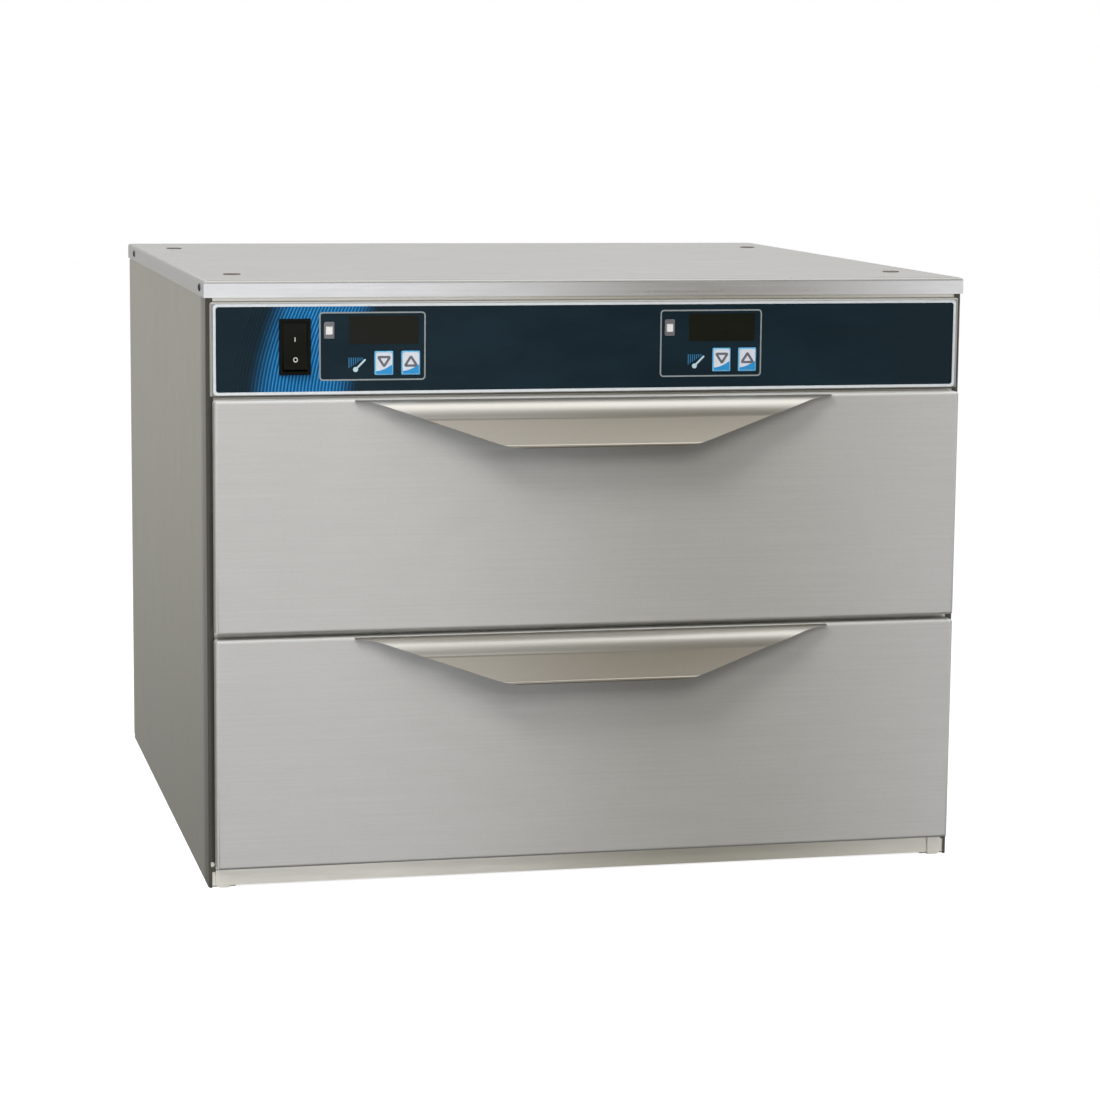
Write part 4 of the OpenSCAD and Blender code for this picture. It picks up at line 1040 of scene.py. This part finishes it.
            # the rocker's two faces lean by the half swing, and the rocker rests tilted by as much again
            lean = Matrix.Rotation(half_swing * sign, 4, "X")
            tilt = Matrix.Rotation(-half_swing, 4, "X")
            piece.data.transform(Matrix.Translation((0, self.rocker_y, self.middle_z)) @ tilt
                                 @ Matrix.Translation((0, -3.04 * MM, 0)) @ lean)
        settle(joined("rocker_marks", [bar, ring]), "switch_rocker",
               printed("rocker_white", ink(205, 205, 200), 0.45))


class Level(Enum):
    """The two drawers, each with the height of the crease in its pull."""

    LOWER = 186.9 * MM
    UPPER = 375.9 * MM


@dataclass
class Drawer:
    """One drawer: front, pull, insulated back, frame, rails and pan."""

    level: Level
    finishes: dict[str, Material]
    painted_shade_apron: Material

    def dress(self) -> None:
        """Gives the drawer's nodes their finishes; below its crease the pull's apron gets a darker copy of the
        pull's steel, a painted shade.
        """
        word = self.level.name.lower()
        pieces = {node: refined(f"{word}_{node}", finish) for node, finish in self.finishes.items()}
        # painted shade: the apron faces under the crease take the darker copy of the steel
        recoat(pieces["handle"], self.painted_shade_apron,
               lambda face: face.center.z < self.level.value and face.normal.y < 0)


def dress_drawers() -> None:
    """Dresses both drawers in the same finishes."""
    satin = {"metallic": 0.9, "streak": 0.012, "mottle": 0.035, "relief": 0.0, "wear": 0.0}
    front, pull, painted_shade_apron, inner, rail, ball = (steel.build() for steel in (
        SheetSteel("brushed_front", (0.61, 0.607, 0.592), Grain.ALONG_X, 0.42, 0.38, spread=0.75),
        SheetSteel("satin_pull", (0.49, 0.47, 0.42), Grain.ALONG_X, 0.34, spread=0.55, **satin),
        # darker copy of the pull's steel, painted shade for the apron below the crease
        SheetSteel("satin_apron", (0.42, 0.388, 0.33), Grain.ALONG_X, 0.30, spread=0.4, **satin),
        SheetSteel("pan_steel_sheet", (0.56, 0.56, 0.55), Grain.ALONG_Y, 0.30, relief=0.012, wear=0.5),
        SheetSteel("zinc_rail", (0.50, 0.51, 0.52), Grain.ALONG_Y, 0.32),
        SheetSteel("cage_steel", (0.42, 0.42, 0.43), Grain.ROLLED, 0.24)))
    finishes = {
        "drawer_front": front, "handle": pull, "drawer_insulation": glass_wool("drawer_wool"),
        "drawer_inner_panel": inner, "drawer_gasket": moulded("gasket_black", ink(30, 30, 30), 0.6),
        "handle_screws": rail, "drawer_frame": inner, "drawer_rails": rail, "food_pan": inner,
        "cabinet_rails": rail, "middle_rails": rail, "outer_ball_cages": ball, "inner_ball_cages": ball,
    }
    for level in Level:
        Drawer(level, finishes, painted_shade_apron).dress()


# ---- studio ----


@dataclass
class Studio:
    """Floor, backdrop, lamps and camera.

    A card has a name, its left, right, foot and top, its Y and how much it hides in its middle. A lamp has a
    name, a place, a point that it looks at, its width and height, and its power in watts.
    """

    eye: Triple = (-0.60149, -2.73016, 0.62825)
    yaw: float = 13.101
    pitch: float = 8.226
    roll: float = 0.526
    lens: float = 102.76
    floor_half: float = 9.0
    floor_level: float = 0.8
    floor_colour: Colour = (0.86, 0.86, 0.86)
    bounce_colour: Colour = (0.22, 0.22, 0.22)
    air_level: float = 0.2
    front_levels: tuple[Point, ...] = ((-1, 0.1), (-0.6, 0.35), (-0.3, 1.3), (-0.14, 1.75), (0.06, 1.0),
                                       (0.28, 0.36), (0.48, 0.5), (0.7, 1.3), (0.86, 1.9), (1, 2.6))
    back_levels: tuple[Point, ...] = ((-1, 0.08), (-0.5, 0.14), (-0.25, 0.28), (-0.06, 0.6), (0.14, 0.56),
                                      (0.4, 0.75), (0.79, 1.8), (1, 2.3))
    front_tint: Colour = (0.985, 1.0, 1.045)
    back_tint: Colour = (1.0, 0.995, 0.975)
    cards: tuple[tuple[str, Box, float, float], ...] = (
        ("low_card", (0.02, 0.54, -0.6, 1.1), -0.92, 0.93), ("high_card", (0.07, 0.42, 1.58, 2.4), -1.45, 0.95))
    card_colour: Colour = (0.20, 0.18, 0.13)
    lamps: tuple[tuple[str, Triple, Triple, Point, float], ...] = (
        ("front_soft", (-0.1, -2.3, 1.5), (0, 0, 0.25), (1.5, 0.9), 20.5),
        ("left_soft", (-0.95, -1.25, 1.85), (-0.25, -0.3, 0.25), (0.7, 0.6), 23),
        ("top_soft", (0.1, -0.7, 2.6), (0, 0, 0.25), (2.0, 1.2), 9))
    lamp_colour: Colour = (1.0, 0.975, 0.92)

    def pale(self) -> Material:
        """Material of the floor, which shows as plain white to the eye."""
        surface = Surface("floor_pale")
        seen = surface.add("ShaderNodeLightPath").outputs["Is Camera Ray"]
        white = surface.blend(surface.noise(3.0, 3.0), shaded(self.floor_colour, 0.97), self.floor_colour)
        surface.set(Base_Color=surface.blend(seen, self.bounce_colour, white), Roughness=0.9,
                    Specular_IOR_Level=0.1, Emission_Color=(1.0, 1.0, 1.0),
                    Emission_Strength=surface.math("MULTIPLY", seen, self.floor_level))
        return surface.material

    def stage(self) -> None:
        """Lays the floor and hangs the grey cards that the front sheets and the pulls mirror."""
        half = self.floor_half
        floor = self.sheet("floor", [(-half, -half, 0), (half, -half, 0), (half, half, 0), (-half, half, 0)],
                           self.pale())
        floor.visible_glossy = False
        for name, sides, y, cover in self.cards:
            left, right, low, high = sides
            card = self.sheet(name, [(left, y, low), (right, y, low), (right, y, high), (left, y, high)],
                              self.soft_grey(name + "_grey", left, right, cover))
            for ray in ("camera", "diffuse", "transmission", "shadow"):
                setattr(card, f"visible_{ray}", False)

    @staticmethod
    def sheet(name: str, corners: Sequence[Triple], material: Material) -> Piece:
        """Flat sheet with four corners."""
        piece = solid(name, corners, [(0, 1, 2, 3)])
        coat(piece, material)
        return piece

    def soft_grey(self, name: str, left: float, right: float, cover: float) -> Material:
        """Grey that covers a share of what is behind the middle of a card and fades out to its sides."""
        surface = Surface(name)
        half = (right - left) / 2
        across = surface.parts(surface.place())["X"]
        off = surface.math("ABSOLUTE", surface.math("SUBTRACT", across, (left + right) / 2))
        surface.set(Base_Color=(0.0, 0.0, 0.0), Roughness=1.0, Specular_IOR_Level=0.0,
                    Alpha=surface.span(off, cover, 0.0, half * 0.25, half, "SMOOTHSTEP"),
                    Emission_Color=self.card_colour, Emission_Strength=1.0)
        return surface.material

    def sky(self) -> None:
        """Surroundings: white to the eye, and in gloss graded by height, in front and behind."""
        world = bpy.data.worlds.new("studio_air")
        bpy.context.scene.world = world
        world.use_nodes = True
        world.node_tree.nodes.clear()
        graph = Graph(world.node_tree)
        rays = graph.add("ShaderNodeLightPath").outputs
        glossy = rays["Is Glossy Ray"]
        way = graph.parts(graph.add("ShaderNodeTexCoord").outputs["Generated"])
        behind = graph.span(way["Y"], 0.0, 1.0, -0.1, 0.5, "SMOOTHSTEP")
        front_level = graph.curve(way["Z"], self.front_levels)
        change = graph.math("SUBTRACT", graph.curve(way["Z"], self.back_levels), front_level)
        mirrored = graph.math("ADD", front_level, graph.math("MULTIPLY", behind, change))
        plain = graph.math("MULTIPLY", graph.math("SUBTRACT", 1.0, glossy), self.air_level)
        level = graph.math("ADD", graph.math("MULTIPLY", glossy, mirrored), plain)
        clear = graph.math("MAXIMUM", rays["Is Camera Ray"], rays["Is Transmission Ray"])
        tint = graph.blend(glossy, (1.0, 1.0, 1.0), graph.blend(behind, self.front_tint, self.back_tint))
        air = graph.add("ShaderNodeBackground", {"Color": tint, "Strength": graph.math("MAXIMUM", level, clear)})
        graph.add("ShaderNodeOutputWorld", {"Surface": air.outputs[0]})

    def light(self) -> None:
        """Sets the soft rectangular lamps."""
        for name, place, aim, size, power in self.lamps:
            data = bpy.data.lights.new(name, "AREA")
            data.shape = "RECTANGLE"
            data.size, data.size_y = size
            data.energy = power
            data.color = self.lamp_colour
            lamp = bpy.data.objects.new(name, data)
            lamp.location = place
            lamp.rotation_euler = (Vector(aim) - Vector(place)).to_track_quat("-Z", "Y").to_euler()
            lamp.visible_glossy = False
            bpy.context.scene.collection.objects.link(lamp)

    def camera(self) -> None:
        """Sets the camera at the photograph's angle: turned to the right, looking down and rolled."""
        data = bpy.data.cameras.new("camera")
        data.lens = self.lens
        data.sensor_width = 36
        eye = bpy.data.objects.new("camera", data)
        eye.matrix_world = Matrix.Translation(self.eye)
        for angle, axis in ((-self.yaw, "Z"), (90 - self.pitch, "X"), (self.roll, "Z")):
            eye.matrix_world = eye.matrix_world @ Matrix.Rotation(math.radians(angle), 4, axis)
        bpy.context.scene.collection.objects.link(eye)
        bpy.context.scene.camera = eye

    def build(self) -> None:
        """Makes the whole studio."""
        self.camera()
        self.sky()
        self.stage()
        self.light()
        bpy.context.scene.view_settings.view_transform = "Standard"


def main() -> None:
    """Builds the studio and dresses the part, sub-assembly by sub-assembly."""
    logging.basicConfig(level=logging.INFO, format="%(name)s: %(message)s")
    Studio().build()
    cabinet = Cabinet()
    cabinet.dress()
    cabinet.fasteners()
    panel = ControlPanel()
    panel.dress()
    panel.prints()
    panel.keys()
    panel.rocker_marks()
    dress_drawers()


if __name__ == "__main__":
    main()
